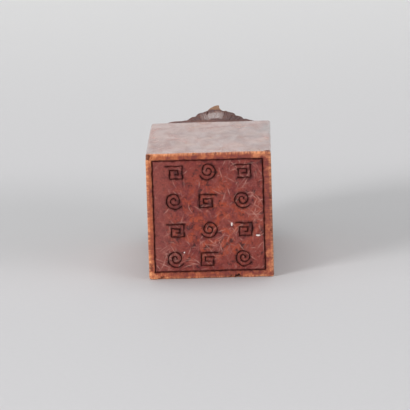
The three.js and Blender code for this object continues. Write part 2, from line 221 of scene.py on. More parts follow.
def toStretch(points, start, end):
    # where along a straight stretch each point lies, 0 to 1, and how far off it
    way = end - start
    t = np.clip((points - start) @ way / max(way @ way, 1e-9), 0, 1)
    return t, norm(points - start - t[:, None] * way, axis=1)


def hollows(piece, rounds=6):
    # how far each point lies in a hollow (above 0) or on a ridge (below 0), in mm
    points, normals, ends = pointsOf(piece), normalsOf(piece), edgesOf(piece)
    count = np.bincount(ends.ravel(), minlength=len(points))[:, None]
    mean = points.copy()
    for _ in range(rounds):
        total = np.zeros_like(points)
        for axis in range(3):
            for here, there in (ends.T, ends.T[::-1]):
                total[:, axis] += np.bincount(here, mean[there, axis], len(points))
        mean = total / np.maximum(count, 1)
    return ((mean - points) * normals).sum(axis=1)

# Camera, floor and lamps

cameraSetup = {
    "lookAt": (-0.90, -34.0, 14.91),  # mm, a little left of the stamping face and above its middle
    "distance": 726.0,
    "back": (0.01875, -0.98541, 0.16918),
    "roll": -1.73,
    "lens": 319.96,
}


def addCamera():
    setup = cameraSetup
    back = Vector(setup["back"]).normalized()
    level = Vector((-back.y, back.x, 0)).normalized()
    up = back.cross(level)
    roll = math.radians(setup["roll"])
    right = level * math.cos(roll) + up * math.sin(roll)
    top = up * math.cos(roll) - level * math.sin(roll)
    place = (Vector(setup["lookAt"]) + back * setup["distance"]) * mm
    bpy.ops.object.camera_add(location=place)
    camera = bpy.context.object
    camera.name = "photoCamera"
    camera.data.lens = setup["lens"]
    camera.data.sensor_width = 36
    camera.data.clip_start, camera.data.clip_end = 0.01, 50
    turn = Matrix((right, top, back)).transposed()
    camera.matrix_world = Matrix.Translation(place) @ turn.to_4x4()
    bpy.context.scene.camera = camera


studio = {
    "sheet": 1.2,  # half width of the paper, in metres
    "bend": (10, 0.09), "rise": 1.6,  # the steps of its bend and how long each is, and its height above
    "paper": (0.665, 0.66, 0.67),
    "paperBehind": (0.735, 0.735, 0.735), "paperTurns": (30, 520),  # mm back, over which the paper is painted lighter, standing in for more light on the paper farther back
    "paperDusk": (0.6, 0.6, 0.606), "duskFrom": (-50, 10), "duskTo": (50, 125),  # a band of painted shade on the paper by the seal
    "paperFibre": (190, 188, 188),
    "sky": (0.84, 0.84, 0.85), "skyStrength": 0.42,
}

# a low lamp isn't mirrored, or it would show as a white sheet in the waxed stone from behind
lamps = {
    "keySoftbox": {"at": (-0.80, -0.85, 0.36), "size": (0.45, 0.30), "power": 10.0, "mirrored": False},
    "fillSoftbox": {"at": (0.85, -0.80, 0.34), "size": (0.6, 0.40), "power": 3.4, "mirrored": False},
    "overheadSoftbox": {"at": (0.0, 0.28, 1.1), "size": (1.0, 0.8), "power": 5.1},
    "backdropSoftbox": {"at": (0.0, 0.9, 0.9), "size": (1.4, 0.4), "power": 5.5, "aim": (0, 1.5, 0.25)},
}


def addFloor():
    # a sheet of pale paper that runs back and curves up behind the seal
    floor = added(bpy.ops.mesh.primitive_plane_add, (0, 0, 0), size=2 * studio["sheet"])
    selectEdges(floor, (pointsOf(floor)[edgesOf(floor)][:, :, 1] > 0).all(axis=1))
    steps, long = studio["bend"]
    for step in range(steps):
        angle = math.radians(90 * (step + 0.5) / steps)
        pushEdges(0, long * math.cos(angle), long * math.sin(angle))
    pushEdges(0, 0, studio["rise"])
    settle(floor, "paperSweep")
    smoothShade(floor, 60)
    paper = Sheet("palePaper")
    away = paper.axes()[1]
    # painted light: the paper is painted lighter farther back, over paperTurns
    colour = paper.mix(away.between(*studio["paperTurns"]), studio["paper"], studio["paperBehind"])
    # painted shade: a darker band across the paper by the seal
    paintedShade = away.between(*studio["duskFrom"]) * (1 - away.between(*studio["duskTo"]))
    colour = paper.mix(paintedShade, colour, studio["paperDusk"])
    fibres = paper.noise(1.2, 4, 0.6)
    colour = paper.mix(fibres.between(0.3, 0.7) * 0.05, colour, tint(*studio["paperFibre"]))
    relief = paper.bump(fibres, 0.01)
    paper.finish({"Base Color": colour, "Normal": relief, "Roughness": 0.65, "Specular IOR Level": 0.2})
    paper.dress(floor)


def addLamp(name, at, size, power, aim=(0, 0, 0.012), mirrored=True):
    bpy.ops.object.light_add(type="AREA", location=at)
    lamp = bpy.context.object
    lamp.name = name
    lamp.data.shape = "RECTANGLE"
    lamp.data.size, lamp.data.size_y = size
    lamp.data.energy = power
    lamp.visible_glossy = mirrored
    lamp.rotation_euler = (Vector(aim) - Vector(at)).to_track_quat("-Z", "Y").to_euler()


def addLights():
    for name, lamp in lamps.items():
        addLamp(name, **lamp)
    world = bpy.context.scene.world or bpy.data.worlds.new("studio")
    bpy.context.scene.world = world
    world.use_nodes = True
    sky = world.node_tree.nodes["Background"]
    sky.inputs["Color"].default_value = (*studio["sky"], 1)
    sky.inputs["Strength"].default_value = studio["skyStrength"]
    bpy.context.scene.view_settings.view_transform = "Standard"


# Shader maths as plain expressions


class Signal:
    # one output of a node, so that 1 - mask * 0.5 adds its Math nodes
    def __init__(self, sheet, socket):
        self.sheet = sheet
        self.socket = socket

    def maths(self, operation, *values, clamp=False):
        settings = {"operation": operation, "use_clamp": clamp}
        return self.sheet.node("Math", settings, dict(enumerate(values)))

    def __add__(self, other):
        return self.maths("ADD", self, other)

    def __sub__(self, other):
        return self.maths("SUBTRACT", self, other)

    def __rsub__(self, other):
        return self.maths("SUBTRACT", other, self)

    def __mul__(self, other):
        return self.maths("MULTIPLY", self, other)

    __radd__ = __add__
    __rmul__ = __mul__

    def __abs__(self):
        return self.maths("ABSOLUTE", self)

    def clamped(self):
        return self.maths("ADD", self, 0, clamp=True)

    def far(self, other):
        # how far away a place is that lies this much each way
        return self.maths("SQRT", self * self + other * other)

    def under(self, other):
        return self.maths("MINIMUM", self, other)

    def over(self, other):
        return self.maths("MAXIMUM", self, other)

    def between(self, low, high):
        # 0 below low, 1 above high, smooth between
        settings = {"interpolation_type": "SMOOTHSTEP"}
        return self.sheet.node("MapRange", settings, {0: self, 1: low, 2: high})


class Sheet:
    # one material, its nodes and its colours by name
    def __init__(self, name, colours=None):
        self.material = bpy.data.materials.new(name)
        self.material.use_nodes = True
        self.tree = self.material.node_tree
        self.shader = self.tree.nodes["Principled BSDF"].inputs
        self.coords = self.node("TexCoord", out="Object")
        self.look = {title: tint(*colour) for title, colour in (colours or {}).items()}

    def node(self, kind, settings=None, sockets=None, out=0):
        made = self.tree.nodes.new("ShaderNode" + kind)
        for key, value in (settings or {}).items():
            setattr(made, key, value)
        for key, value in (sockets or {}).items():
            self.feed(made.inputs[key], value)
        return Signal(self, made.outputs[out])

    def feed(self, socket, value):
        if isinstance(value, Signal):
            self.tree.links.new(value.socket, socket)
        elif isinstance(value, tuple) and len(value) == 3 and socket.type == "RGBA":
            socket.default_value = (*value, 1)
        else:
            socket.default_value = value

    def place(self, size=(1, 1, 1), turn=(0, 0, 0), shift=(0, 0, 0)):
        # object coordinates counted in steps of this size in mm, turned first, for one pattern
        return self.node("Mapping", {"vector_type": "TEXTURE"}, {
            "Vector": self.coords,
            "Location": tuple(s * mm for s in shift),
            "Rotation": tuple(math.radians(a) for a in turn),
            "Scale": tuple(s * mm for s in size),
        })

    def axes(self):
        # x, y and z in millimetres
        split = self.node("SeparateXYZ", None, {"Vector": self.place()})
        return [Signal(self, socket) for socket in split.socket.node.outputs]

    def noise(self, size, detail, rough, warp=0.0, stretch=(1, 1, 1), turn=(0, 0, 0), shift=(0, 0, 0)):
        # size is the width of one swell in mm, and stretch draws the swells out along an axis
        where = self.place(tuple(size * s for s in stretch), turn, shift)
        return self.node("TexNoise", None, {
            "Vector": where, "Scale": 1.0, "Detail": detail, "Roughness": rough, "Distortion": warp,
        })

    def painted(self, name):
        # a number that was written on the points of the mesh
        return self.node("Attribute", {"attribute_name": name}, out="Fac")

    def mix(self, mask, first, second, blend="MIX"):
        settings = {"data_type": "RGBA", "blend_type": blend}
        return self.node("Mix", settings, {0: mask, 6: first, 7: second}, out=2)

    def paint(self, colour, *coats):
        # coats over a first colour; each is the mask that says where it lies, and its colour's name
        for mask, name in coats:
            colour = self.mix(mask, colour, self.look[name])
        return colour

    def bump(self, height, depth):
        return self.node("Bump", None, {"Height": height, "Strength": 1.0, "Distance": depth * mm})

    def finish(self, sockets):
        for name, value in sockets.items():
            self.feed(self.shader[name], value)
        return self

    def dress(self, *pieces):
        for piece in pieces:
            piece.data.materials.clear()
            piece.data.materials.append(self.material)


def tint(red, green, blue):
    # a colour as a paint chart gives it, 0 to 255, made linear
    return tuple(
        c / 3294.6 if c <= 10.31 else ((c / 255 + 0.055) / 1.055) ** 2.4 for c in (red, green, blue)
    )

# The engraving of the stamping face: where the cuts run and how deep they are

shaft = {
    "face": -34.0, "rear": 8.0, "halfWidth": 12.5, "halfDepth": 12.7,
    "edgeRound": 0.3, "cornerRound": 0.5,
    "cell": 0.094,  # of the mesh on the engraved face
    "rows": (  # where the mesh runs round the block, from its face back
        0.06, 0.12, 0.18, 0.25, 0.33, 0.45, 0.6, 0.8, 1.05, 1.35, 1.7, 2.2, 3, 5, 9, 16, 25, 35,
        41.2, 41.7, 41.85, 42),
    "socketRadius": 3.3, "socketDepth": 6.2,
    "wear": 0.1, "wearReach": 0.7,
    "chips": (  # x, y, z, radius and depth in mm, and how dark
        (-12.4, -34.0, 25.0, 1.0, 0.42, 0.7),
        (11.9, -33.0, 25.4, 0.75, 0.28, 0.8),
        (5.3, -34.0, -0.2, 0.95, 0.45, 0.9),
        (3.9, -34.0, 0.0, 0.6, 0.25, 0.35),
        (-12.5, -34.0, 2.6, 0.8, 0.3, 0.35),
        (-9.9, -34.0, 0.0, 0.7, 0.22, 0.35),
        (12.5, -34.0, 16.4, 0.7, 0.2, 0.35),
        (1.4, -34.0, 25.4, 0.55, 0.22, 0.35),
        (-2.9, -34.0, 25.4, 0.45, 0.16, 0.35),
        (12.4, -34.0, 9.4, 0.5, 0.16, 0.35),
        (-12.5, 7.9, 24.6, 0.9, 0.3, 0.35),
        (12.5, 2.0, 0.2, 0.8, 0.25, 0.35),
        (-12.5, -10.0, 25.2, 0.7, 0.18, 0.35)),
}
halfSize = np.array((shaft["halfWidth"], shaft["halfDepth"]))
axisAt = np.array((0, shaft["halfDepth"]))  # x and z of the middle line
lying = (math.radians(90), 0, 0)  # turns a primitive to that line

engraving = {
    "halfWidth": 0.13, "borderWider": 1.15, "depth": 0.48, "wall": 0.1,
    "pitch": 0.85, "squareTurns": 7, "roundTurns": 1.9,
    "step": 0.22,  # between the points along a cut
    "waver": 0.045,  # how far the knife strays
    "snap": 0.046,  # points of the mesh within this are drawn onto a cut's edge
    "lip": 0.012,  # how far the knife wears down the stone beside a cut
    "inkDepth": 0.34, "inkGap": 0.03,  # of the middle of the ink, and between it and the wall
}


def evenly(corners, step):
    # a line through these corners with a point about every step
    line = [corners[0]]
    for start, end in zip(corners[:-1], corners[1:]):
        count = max(1, round(float(norm(end - start)) / step))
        line += [start + (end - start) * (i + 1) / count for i in range(count)]
    return np.array(line)


def squareFret():
    corners = [np.zeros(2)]
    for cut in range(engraving["squareTurns"]):
        length = engraving["pitch"] * math.ceil((cut + 1) / 2)
        turn = math.radians(90 * cut)
        corners.append(corners[-1] + length * np.array((math.cos(turn), math.sin(turn))))
    return evenly(corners, engraving["step"])


def roundFret():
    turns = np.linspace(0, engraving["roundTurns"], round(engraving["roundTurns"] * 36) + 1)
    radius = engraving["pitch"] * (0.3 + turns)
    return np.stack([radius * np.cos(2 * math.pi * turns), radius * np.sin(2 * math.pi * turns)], axis=1)


def borderLine():
    low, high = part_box("ink_border_line")
    inset = 0.15  # from the ink's outer edge to its middle
    left, right = low[0] / mm + inset, high[0] / mm - inset
    bottom, top = low[2] / mm + inset, high[2] / mm - inset
    corners = [(left, bottom), (left, top), (right, top), (right, bottom), (left, bottom)]
    return evenly([np.array(c, dtype=float) for c in corners], engraving["step"])


def cutLines():
    # every cut by the name of its ink: points across the face, and the half width at each
    cuts = {}
    for name in sorted(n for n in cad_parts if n.startswith("ink_")):
        closed = name == "ink_border_line"
        if closed:
            line, width = borderLine(), engraving["borderWider"]
        else:
            line, width = (squareFret() if "square" in name else roundFret()), 1.0
            line -= (line.min(axis=0) + line.max(axis=0)) / 2
            if name.endswith("column_2"):
                line[:, 0] *= -1
            low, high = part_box(name)
            line += ((low[0] + high[0]) / 2 / mm, (low[2] + high[2]) / 2 / mm)
        seed = 11 + len(cuts)
        stray = np.stack([ripple(line, 2.6, seed), ripple(line, 2.6, seed + 50)], axis=1)
        half = engraving["halfWidth"] * width * (1 + 0.2 * ripple(line, 1.9, seed + 90))
        line = line + stray * engraving["waver"] * (0.7 if closed else 1)
        if closed:
            line, half = line[:-1], half[:-1]
        else:
            ends = np.minimum(np.arange(len(line)), np.arange(len(line))[::-1])
            half = half * np.clip(0.75 + ends * 0.12, 0, 1)
        cuts[name] = {"line": line, "half": half, "closed": closed}
    return cuts


def cutField(places, cuts):
    # for places on the face: the distance to the nearest cut's edge, below 0 inside it, and the way out
    edge = np.full(len(places), 5.0)
    way = np.zeros_like(places)
    for cut in cuts.values():
        line, half = cut["line"], cut["half"]
        last = len(line) if cut["closed"] else -1
        stretches = zip(line[:last], half[:last], np.roll(line, -1, axis=0), np.roll(half, -1))
        for start, width, end, widthEnd in stretches:
            near = within(places, np.minimum(start, end) - 0.5, np.maximum(start, end) + 0.5)
            t, far = toStretch(places[near], start, end)
            value = far - (width + (widthEnd - width) * t)
            better = value < edge[near]
            chosen, t, far = near[better], t[better, None], far[better, None]
            edge[chosen] = value[better]
            way[chosen] = (places[chosen] - start - t * (end - start)) / np.maximum(far, 1e-6)
    return edge, way


scoring = {
    "count": 420, "long": (0.5, 3.0), "half": 0.08, "bend": 0.22, "seed": 5, "bright": 0.9,
    "leans": (25, 60, 95, 140),
    "thick": ((6.5, 20.0, 5.5, 4.0), (9.0, 13.0, 2.2, 8.0), (-8.5, 4.0, 3.0, 3.0), (0.5, 6.0, 4.5, 3.5)),
}  # thick: where more scratches lie, as x, z and the spread each way


def scratches(places):
    # 0 to 1 over the face: fine scratches left by use and by cleaning
    dice = np.random.default_rng(scoring["seed"])
    scored = np.zeros(len(places))
    for number in range(scoring["count"]):
        if number % 5 < 3:
            x, z, spreadX, spreadZ = scoring["thick"][dice.integers(len(scoring["thick"]))]
            start = np.array((x, z)) + dice.normal(size=2) * (0.6 * spreadX, 0.6 * spreadZ)
        else:
            start = dice.uniform((-11, 1.5), (11, 24))
        lean = math.radians(dice.choice(scoring["leans"]) + dice.normal() * 16)
        bend = dice.normal() * scoring["bend"]
        length = dice.uniform(*scoring["long"]) * (1.7 if number % 12 == 0 else 1)
        bright = scoring["bright"] * dice.uniform(0.2, 1) ** 1.9
        for step in range(6):
            turned = lean + bend * step / 3
            along = np.array((math.cos(turned), math.sin(turned))) * length / 6
            middle, reach = start + along / 2, 0.2 + length / 12
            near = within(places, middle - reach, middle + reach)
            t, far = toStretch(places[near], start, start + along)
            fade = bright * (1 - abs(step + t - 3) / 3.4)
            scored[near] = np.maximum(scored[near], fade * np.exp(-(far / scoring["half"]) ** 2))
            start = start + along
    return scored


# The shaft: one fine grid for the face, drawn back into the block


def shaftBlock():
    cell = shaft["cell"] * 1
    halfX, halfZ = halfSize - shaft["edgeRound"]
    piece = added(
        bpy.ops.mesh.primitive_grid_add, (0, shaft["face"], shaft["halfDepth"]), lying, size=2 * mm,
        x_subdivisions=round(2 * halfX / cell), y_subdivisions=round(2 * halfZ / cell),
    )
    piece.scale = (halfX, halfZ, 1)
    settle(piece, "stoneShaft")
    # an edge lies on the rim where its middle does
    middle = (pointsOf(piece)[:, (0, 2)] - axisAt)[edgesOf(piece)].mean(axis=1)
    selectEdges(piece, (np.abs(middle) > (halfX - 0.001, halfZ - 0.001)).any(axis=1))
    for row, before in zip(shaft["rows"], (0, *shaft["rows"])):
        pushEdges(0, (row - before) * mm, 0)
    enter("OBJECT")
    socketHole(piece)
    onWhole(piece, bpy.ops.mesh.normals_make_consistent, inside=False)
    return piece


def rearEdges(piece, reach):
    # which edges lie on the rear plane, no further from the middle line than this
    points = pointsOf(piece)
    near = norm(points[:, (0, 2)] - axisAt, axis=1) < reach
    return (near & (np.abs(points[:, 1] - shaft["rear"]) < 0.001))[edgesOf(piece)].all(axis=1)


def socketHole(piece):
    # a round wall for the knob's tenon, bridged to the shaft's rear edge
    at = (0, shaft["rear"], shaft["halfDepth"])
    radius = shaft["socketRadius"]
    mouth = added(bpy.ops.mesh.primitive_circle_add, at, lying, vertices=64, radius=radius * mm)
    joinAll([piece, mouth], "stoneShaft")
    selectEdges(piece, rearEdges(piece, 99))
    bpy.ops.mesh.bridge_edge_loops()
    enter("OBJECT")
    selectEdges(piece, rearEdges(piece, radius + 0.01))
    pushEdges(0, -shaft["socketDepth"] * mm, 0)
    bpy.ops.mesh.edge_face_add()
    enter("OBJECT")


def roundCorners(local, behind):
    # local is x and z from the axis, and behind the distance from the nearer end
    rim = shaft["edgeRound"]
    grow = np.sqrt(rim ** 2 - (rim - np.clip(behind, 0, rim)) ** 2)
    local = local * (halfSize - rim + grow[:, None]) / (halfSize - rim)
    over = np.abs(local) - (halfSize - shaft["cornerRound"])
    corner = (over > 0).all(axis=1)
    reach = over[corner].max(axis=1)
    share = over[corner].min(axis=1) / reach
    turn = np.radians(np.where(over[corner, 0] >= over[corner, 1], share * 45, 90 - share * 45))
    arc = np.stack([np.cos(turn), np.sin(turn)], axis=1) * reach[:, None]
    local[corner] = np.sign(local[corner]) * (halfSize - shaft["cornerRound"] + arc)
    return local


def wearEdges(points, outer, onFace):
    # edges worn round, always into the stone, and sides that aren't quite flat
    side = (halfSize - np.abs(points[:, (0, 2)] - axisAt)).min(axis=1)
    front = points[:, 1] - shaft["face"]
    worn = shaft["wear"] * 0.5 * uneven(points, 3.2, 21) + 0.03
    for away in (side, front):
        worn = worn * (1 - ramp(away, 0, shaft["wearReach"]))
    inward = np.array((0.0, 0.0, shaft["halfDepth"])) - points
    inward[:, 1] = 0
    share = np.abs(inward[:, (0, 2)]) / halfSize
    inward[share[:, 0] >= share[:, 1], 2] = 0
    inward[share[:, 0] < share[:, 1], 0] = 0
    inward /= np.maximum(norm(inward, axis=1), 1e-6)[:, None]
    points[outer] += (inward * worn[:, None])[outer]
    points[outer, 1] += worn[outer]
    swell = 0.02 * uneven(points, 7, 31)
    sides = outer & ~onFace
    points[sides] += (inward * (swell * ramp(front, 0.2, 1.5))[:, None])[sides]
    points[onFace, 1] += 0.5 * swell[onFace] + 0.006 * uneven(points[onFace], 0.9, 33)


def chipEdges(points, outer):
    # dents the points, and gives how dirty each is
    grime = np.zeros(len(points))
    for number, (x, y, z, radius, deep, dark) in enumerate(shaft["chips"]):
        away = norm(points - (x, y, z), axis=1) / radius
        inside = 1 - away * (1 + 0.22 * ripple(points, radius * 0.8, 70 + number))
        into = np.array((-x, 0, shaft["halfDepth"] - z))
        into = np.where(np.abs(into) > 11, np.sign(into), 0.0)
        if y < shaft["face"] + 0.5:
            into[1] = 1.0
        into /= norm(into)
        points[outer] += (into * (deep * ramp(inside, 0, 0.45))[:, None])[outer]
        grime[outer] = np.maximum(grime[outer], dark * ramp(inside, 0, 0.4)[outer])
    return grime


def shapeShaft(piece, cuts):
    points = pointsOf(piece)
    onFace = points[:, 1] < shaft["face"] + 0.001
    fromAxis = norm(points[:, (0, 2)] - axisAt, axis=1)
    outer = onFace | (fromAxis > shaft["socketRadius"] + 0.5)
    places = points[onFace][:, (0, 2)]
    edge, way = cutField(places, cuts)
    snap = np.abs(edge) < engraving["snap"]
    places[snap] -= way[snap] * edge[snap, None]
    edge[snap] = 0
    depth = engraving["depth"] * ramp(-edge, 0, engraving["wall"]) * (1 + 0.12 * ripple(places, 1.1, 5))
    lip = engraving["lip"] * ramp(-np.abs(edge - 0.05), -0.1, 0)
    points[onFace, 0], points[onFace, 2] = places.T
    behind = np.minimum(points[:, 1] - shaft["face"], shaft["rear"] - points[:, 1])
    local = roundCorners(points[outer][:, (0, 2)] - axisAt, behind[outer])
    points[outer, 0], points[outer, 2] = (local + axisAt).T
    points[onFace, 1] += depth + lip
    wearEdges(points, outer, onFace)
    grime = chipEdges(points, outer)
    low = np.array((-halfSize[0], shaft["face"], 0.0))
    high = np.array((halfSize[0], shaft["rear"], 2 * halfSize[1]))
    movePoints(piece, np.clip(points, low, high))
    # dirt in the cuts and beside them, and more of it among the frets
    grime[onFace] += 0.3 * (depth > 0.1)
    frets = 0.3 * (np.abs(places - axisAt) < 9.8).all(axis=1)
    for share, reach, top, size, seed in ((0.55, 0.34, 0.04, 1.4, 8), (frets, 0.9, 0.1, 0.9, 9)):
        grime[onFace] += share * ramp(-edge, -reach, top) * (0.7 + 0.4 * ripple(places, size, seed))
    writeOn(piece, "grime", np.clip(grime, 0, 0.95))
    scored = np.zeros(len(points))
    scored[onFace] = scratches(places) * (depth < 0.05)
    writeOn(piece, "scored", scored)


def buildShaft(cuts):
    piece = shaftBlock()
    shapeShaft(piece, cuts)
    # each square parts along its shorter diagonal, so that the lips of the cuts run clean
    split = bpy.ops.mesh.quads_convert_to_tris
    onWhole(piece, split, quad_method="SHORTEST_DIAGONAL", ngon_method="BEAUTY")
    return handOver(piece, "shaft", 38)


# Ink left in the cuts: one bead along each


def inkBead(name, cut):
    filled = engraving["depth"] * ramp(cut["half"], 0, engraving["wall"])
    depths = shaft["face"] + filled - (engraving["depth"] - engraving["inkDepth"])
    points = [(x, y, z) for (x, z), y in zip(cut["line"], depths)]
    title = "inkIn" + name.title().replace("_", "").replace("Ink", "")
    piece = tube(title, points, cut["half"] - engraving["inkGap"], 1, cut["closed"])
    # the end caps come loose from the tube, so they are welded on
    onWhole(piece, bpy.ops.mesh.remove_doubles, threshold=0.002 * mm)
    onWhole(piece, bpy.ops.mesh.normals_make_consistent, inside=False)
    points = pointsOf(piece)
    points[:, 1] += 0.02 * ripple(points, 0.7, 40)
    movePoints(piece, points)
    return handOver(piece, name, 60)

# Stone: a mottled red-brown soapstone, waxed and glossy on the sides and rubbed on the face

stoneLook = {
    "colours": {
        "maroon": (118, 46, 45), "redBrown": (134, 57, 49), "ember": (167, 70, 44), "rosy": (144, 77, 70),
        "darkSpeck": (62, 26, 28), "chalk": (204, 150, 136), "white": (238, 226, 220),
        # the rim's tan and ochre also paint a glow of light through the stone's translucent edge
        "rimRed": (126, 59, 54), "rimTan": (177, 90, 61), "rimOchre": (192, 114, 66),
        # this cream is painted highlight along the worn edges
        "edgeCream": (234, 158, 112),
        "sideRed": (134, 68, 56), "sideRose": (186, 120, 102), "sideAsh": (122, 106, 106),
        "sideTan": (206, 150, 116), "vein": (92, 44, 40), "paleVein": (222, 180, 152),
        "grime": (62, 25, 22),
    },
    "paleFlecks": (  # the brightest specks on the face: x, z and the radii each way, in mm
        (4.3, 10.9, 0.22, 0.42), (9.5, 8.5, 0.5, 0.2), (-5.3, 5.4, 0.16, 0.16)),
    "glowAt": (0.5, 11.0),  # x and z of the middle of the warmer patch on the face
    "streaks": ((24, (8, 0, 3)), (-52, (2, 0, 9))),  # the ways the face was rubbed: lean and shift
}


def faceColour(stone, x, z, mottle, scored):
    # the face inside its border line
    atX, atZ = stoneLook["glowAt"]
    glow = stone.noise(2.6, 4, 0.62, warp=0.8, shift=(11, 0, 2)).between(0.42, 0.62)
    glow = glow * (1 - (x - atX).far(z - atZ).between(4, 13) * 0.8)
    cross, slant = (
        stone.noise(1, 3, 0.6, stretch=(0.24, 4, 1.9), turn=(0, lean, 0), shift=shift).between(0.52, 0.7)
        for lean, shift in stoneLook["streaks"]
    )
    toLeft = (0 - x).between(4.5, 10.5)
    specks = stone.noise(0.42, 2, 0.6, shift=(5, 0, 8)).between(0.6, 0.72) * mottle.between(0.4, 0.6)
    return stone.paint(
        stone.look["maroon"],
        (stone.noise(6, 4, 0.6).between(0.4, 0.6), "redBrown"),
        (glow, "ember"),
        (mottle.between(0.5, 0.66) * 0.7, "rosy"),
        ((1 - mottle.between(0.35, 0.49)) * 0.9, "darkSpeck"),
        ((cross + slant).clamped() * 0.32 + toLeft * 0.45, "rosy"),
        ((scored * 0.95).over(specks * 0.34).clamped(), "chalk"),
    )


def rimColour(stone, x, z, mottle):
    # the colour of the rim outside the border line: the stone's red with a painted glow and a painted
    # highlight that make it lighter to its outer edge, and where it lies
    acrossRim = abs(x + 0.2) - 11.0
    upRim = abs(z - 12.76) - 11.22
    hatchAcross = stone.noise(1, 3, 0.65, stretch=(1.6, 3, 0.26))
    hatchUp = stone.noise(1, 3, 0.65, stretch=(0.26, 3, 1.6))
    onSides = (acrossRim - upRim).between(-0.2, 0.2)
    hatch = hatchAcross * onSides + hatchUp * (1 - onSides)
    patches = stone.noise(2.3, 4, 0.62, warp=0.4, shift=(6, 2, 4))
    # painted glow: tan more to the left and ochre toward the top left, laid over the rim's red for light
    # glowing through the translucent edge, broken up by hatching, patches and mottle
    paintedGlow = 0.54 - x * 0.016 - (z - 12.7) * 0.006
    paintedGlow = paintedGlow + (hatch - 0.5) * 1.5 + (mottle - 0.5) * 2.2 + (patches - 0.5) * 2.4
    paintedGlowOchre = (z - 12.7) * 0.05 - x * 0.05 - 0.62 + (mottle - 0.5) * 2
    toEdge = (12.5 - abs(x)).under(12.7 - abs(z - 12.7))
    nearCorner = (abs(x) + abs(z - 12.7)).between(16, 25)
    strength = 0.68 - x * 0.006 + nearCorner * 0.4
    # painted highlight: cream along the outer edge and near the corners, where the worn edge catches the
    # light, broken up by the hatching
    paintedEdgeHighlight = (1 - toEdge.between(0.1, 0.7)) * (0.15 + hatch.between(0.42, 0.62)) * strength
    paintedEdgeHighlight = paintedEdgeHighlight + mottle.between(0.46, 0.6) * (nearCorner * 0.4 + patches.between(0.5, 0.62) * 0.22)
    colour = stone.paint(
        stone.look["rimRed"],
        (paintedGlow.clamped(), "rimTan"),
        (paintedGlowOchre.clamped(), "rimOchre"),
        ((1 - mottle.between(0.34, 0.46)) * 0.6, "rimRed"),
        (paintedEdgeHighlight.clamped(), "edgeCream"),
    )
    return colour, acrossRim.over(upRim).between(0.0, 0.25)


def sideColour(stone, x, y, mottle):
    # the long sides under their wax: rosier patches, ashy streaks and a painted highlight along the front
    # edge
    broad = stone.noise(7, 6, 0.62, warp=0.6, stretch=(1, 1.5, 1), shift=(0, 9, 0))
    ash = stone.noise(4.5, 6, 0.6, warp=0.8, stretch=(1, 2.4, 1), shift=(7, 3, 0)).between(0.44, 0.74)
    tan = stone.noise(3.4, 6, 0.62, warp=0.6, shift=(4, 14, 1)).between(0.48, 0.76)
    drift = stone.noise(11, 5, 0.55, warp=0.9, shift=(5, 8, 2))
    veined = (1 - abs(drift - 0.5).between(0.001, 0.008)) * broad.between(0.35, 0.6)
    paleVeined = (1 - abs(drift - 0.57).between(0.0005, 0.006)) * mottle.between(0.4, 0.6)
    return stone.paint(
        stone.look["sideRed"],
        (broad.between(0.3, 0.68), "sideRose"),
        ((ash * (0.62 + x * 0.035)).clamped(), "sideAsh"),
        (tan * 0.7, "sideTan"),
        ((1 - mottle.between(0.3, 0.5)) * 0.45, "sideRed"),
        (mottle.between(0.52, 0.74) * 0.3, "sideRose"),
        (veined * 0.55, "vein"),
        (paleVeined * 0.5, "paleVein"),
        ((1 - y.between(-33.4, -32.4)) * 0.6, "edgeCream"),
    )


def finishStone(stone, colour, grain, speckle, rough, coat, coatRough, relief, depth):
    # fine grain in the colour, wax over it and the relief of the surface
    speckled = stone.mix(grain.between(0.3, 0.7), (0.5, 0.5, 0.5), (1.0, 1.0, 1.0))
    return stone.finish({
        "Base Color": stone.mix(speckle, colour, speckled, "MULTIPLY"), "Roughness": rough, "IOR": 1.45,
        "Coat Weight": coat.clamped(), "Coat Roughness": coatRough, "Normal": stone.bump(relief, depth),
    })


def soapstone():
    stone = Sheet("polishedSoapstone", stoneLook["colours"])
    x, y, z = stone.axes()
    front = 1 - y.between(-33.5, -33.2)
    mottle = stone.noise(1.4, 5, 0.68, warp=0.4, shift=(3, 1, 7))
    grain = stone.noise(0.34, 3, 0.65)
    scored, grime = stone.painted("scored"), stone.painted("grime")
    rim, onRim = rimColour(stone, x, z, mottle)
    face = stone.mix(onRim, faceColour(stone, x, z, mottle, scored), rim)
    for atX, atZ, wide, high in stoneLook["paleFlecks"]:
        fromFleck = ((x - atX) * (1 / wide)).far((z - atZ) * (1 / high)) + (grain - 0.5) * 1.5
        face = stone.paint(face, (1 - fromFleck.between(0.5, 1.1), "white"))
    colour = stone.paint(stone.mix(front, sideColour(stone, x, y, mottle), face), (grime, "grime"))
    waxed = stone.noise(2.6, 5, 0.6, warp=0.6, stretch=(1.1, 3.2, 1), shift=(1, 6, 3)).between(0.3, 0.7)
    rough = 0.27 - waxed * 0.1 + front * (0.22 + (mottle - 0.5) * 0.4) + grime * 0.4
    coat = (0.26 + waxed * 0.38) * (1 - front) - grime
    relief = (mottle - 0.5) * 0.4 + (grain - 0.5) * 0.25 - scored * 0.8
    return finishStone(stone, colour, grain, 0.35 + front * 0.15, rough, coat, 0.1, relief, 0.03)

# The knob: a plinth and a seated guardian lion, drawn standing up in the lion's own block

lion = {
    "foot": 11.7, "tall": 0.96537, "deep": 1.00794,  # where the block's z = 0 lies, and its fit to the shaft
    "curlDepth": 0.24, "hairDepth": 0.16,
    # a form is its centre and its radii
    "mane": ((0, -2.2, 13), (7.1, 6.7, 6.4)),
    "skull": ((0, 1.8, 15.8), (5.6, 5.4, 5.2)),
    "parting": ((-1.7, -1.85, 19.15), (-0.8, -2.05, 19.35), (0, -2.1, 19.4), (0.8, -2.05, 19.35),
                (1.7, -1.85, 19.15)),
}


def inBlock(points):
    # from the lion's block to the seal as it lies
    x, y, z = points.T
    return np.stack([x, lion["foot"] + z * lion["tall"], shaft["halfDepth"] - y * lion["deep"]], axis=1)


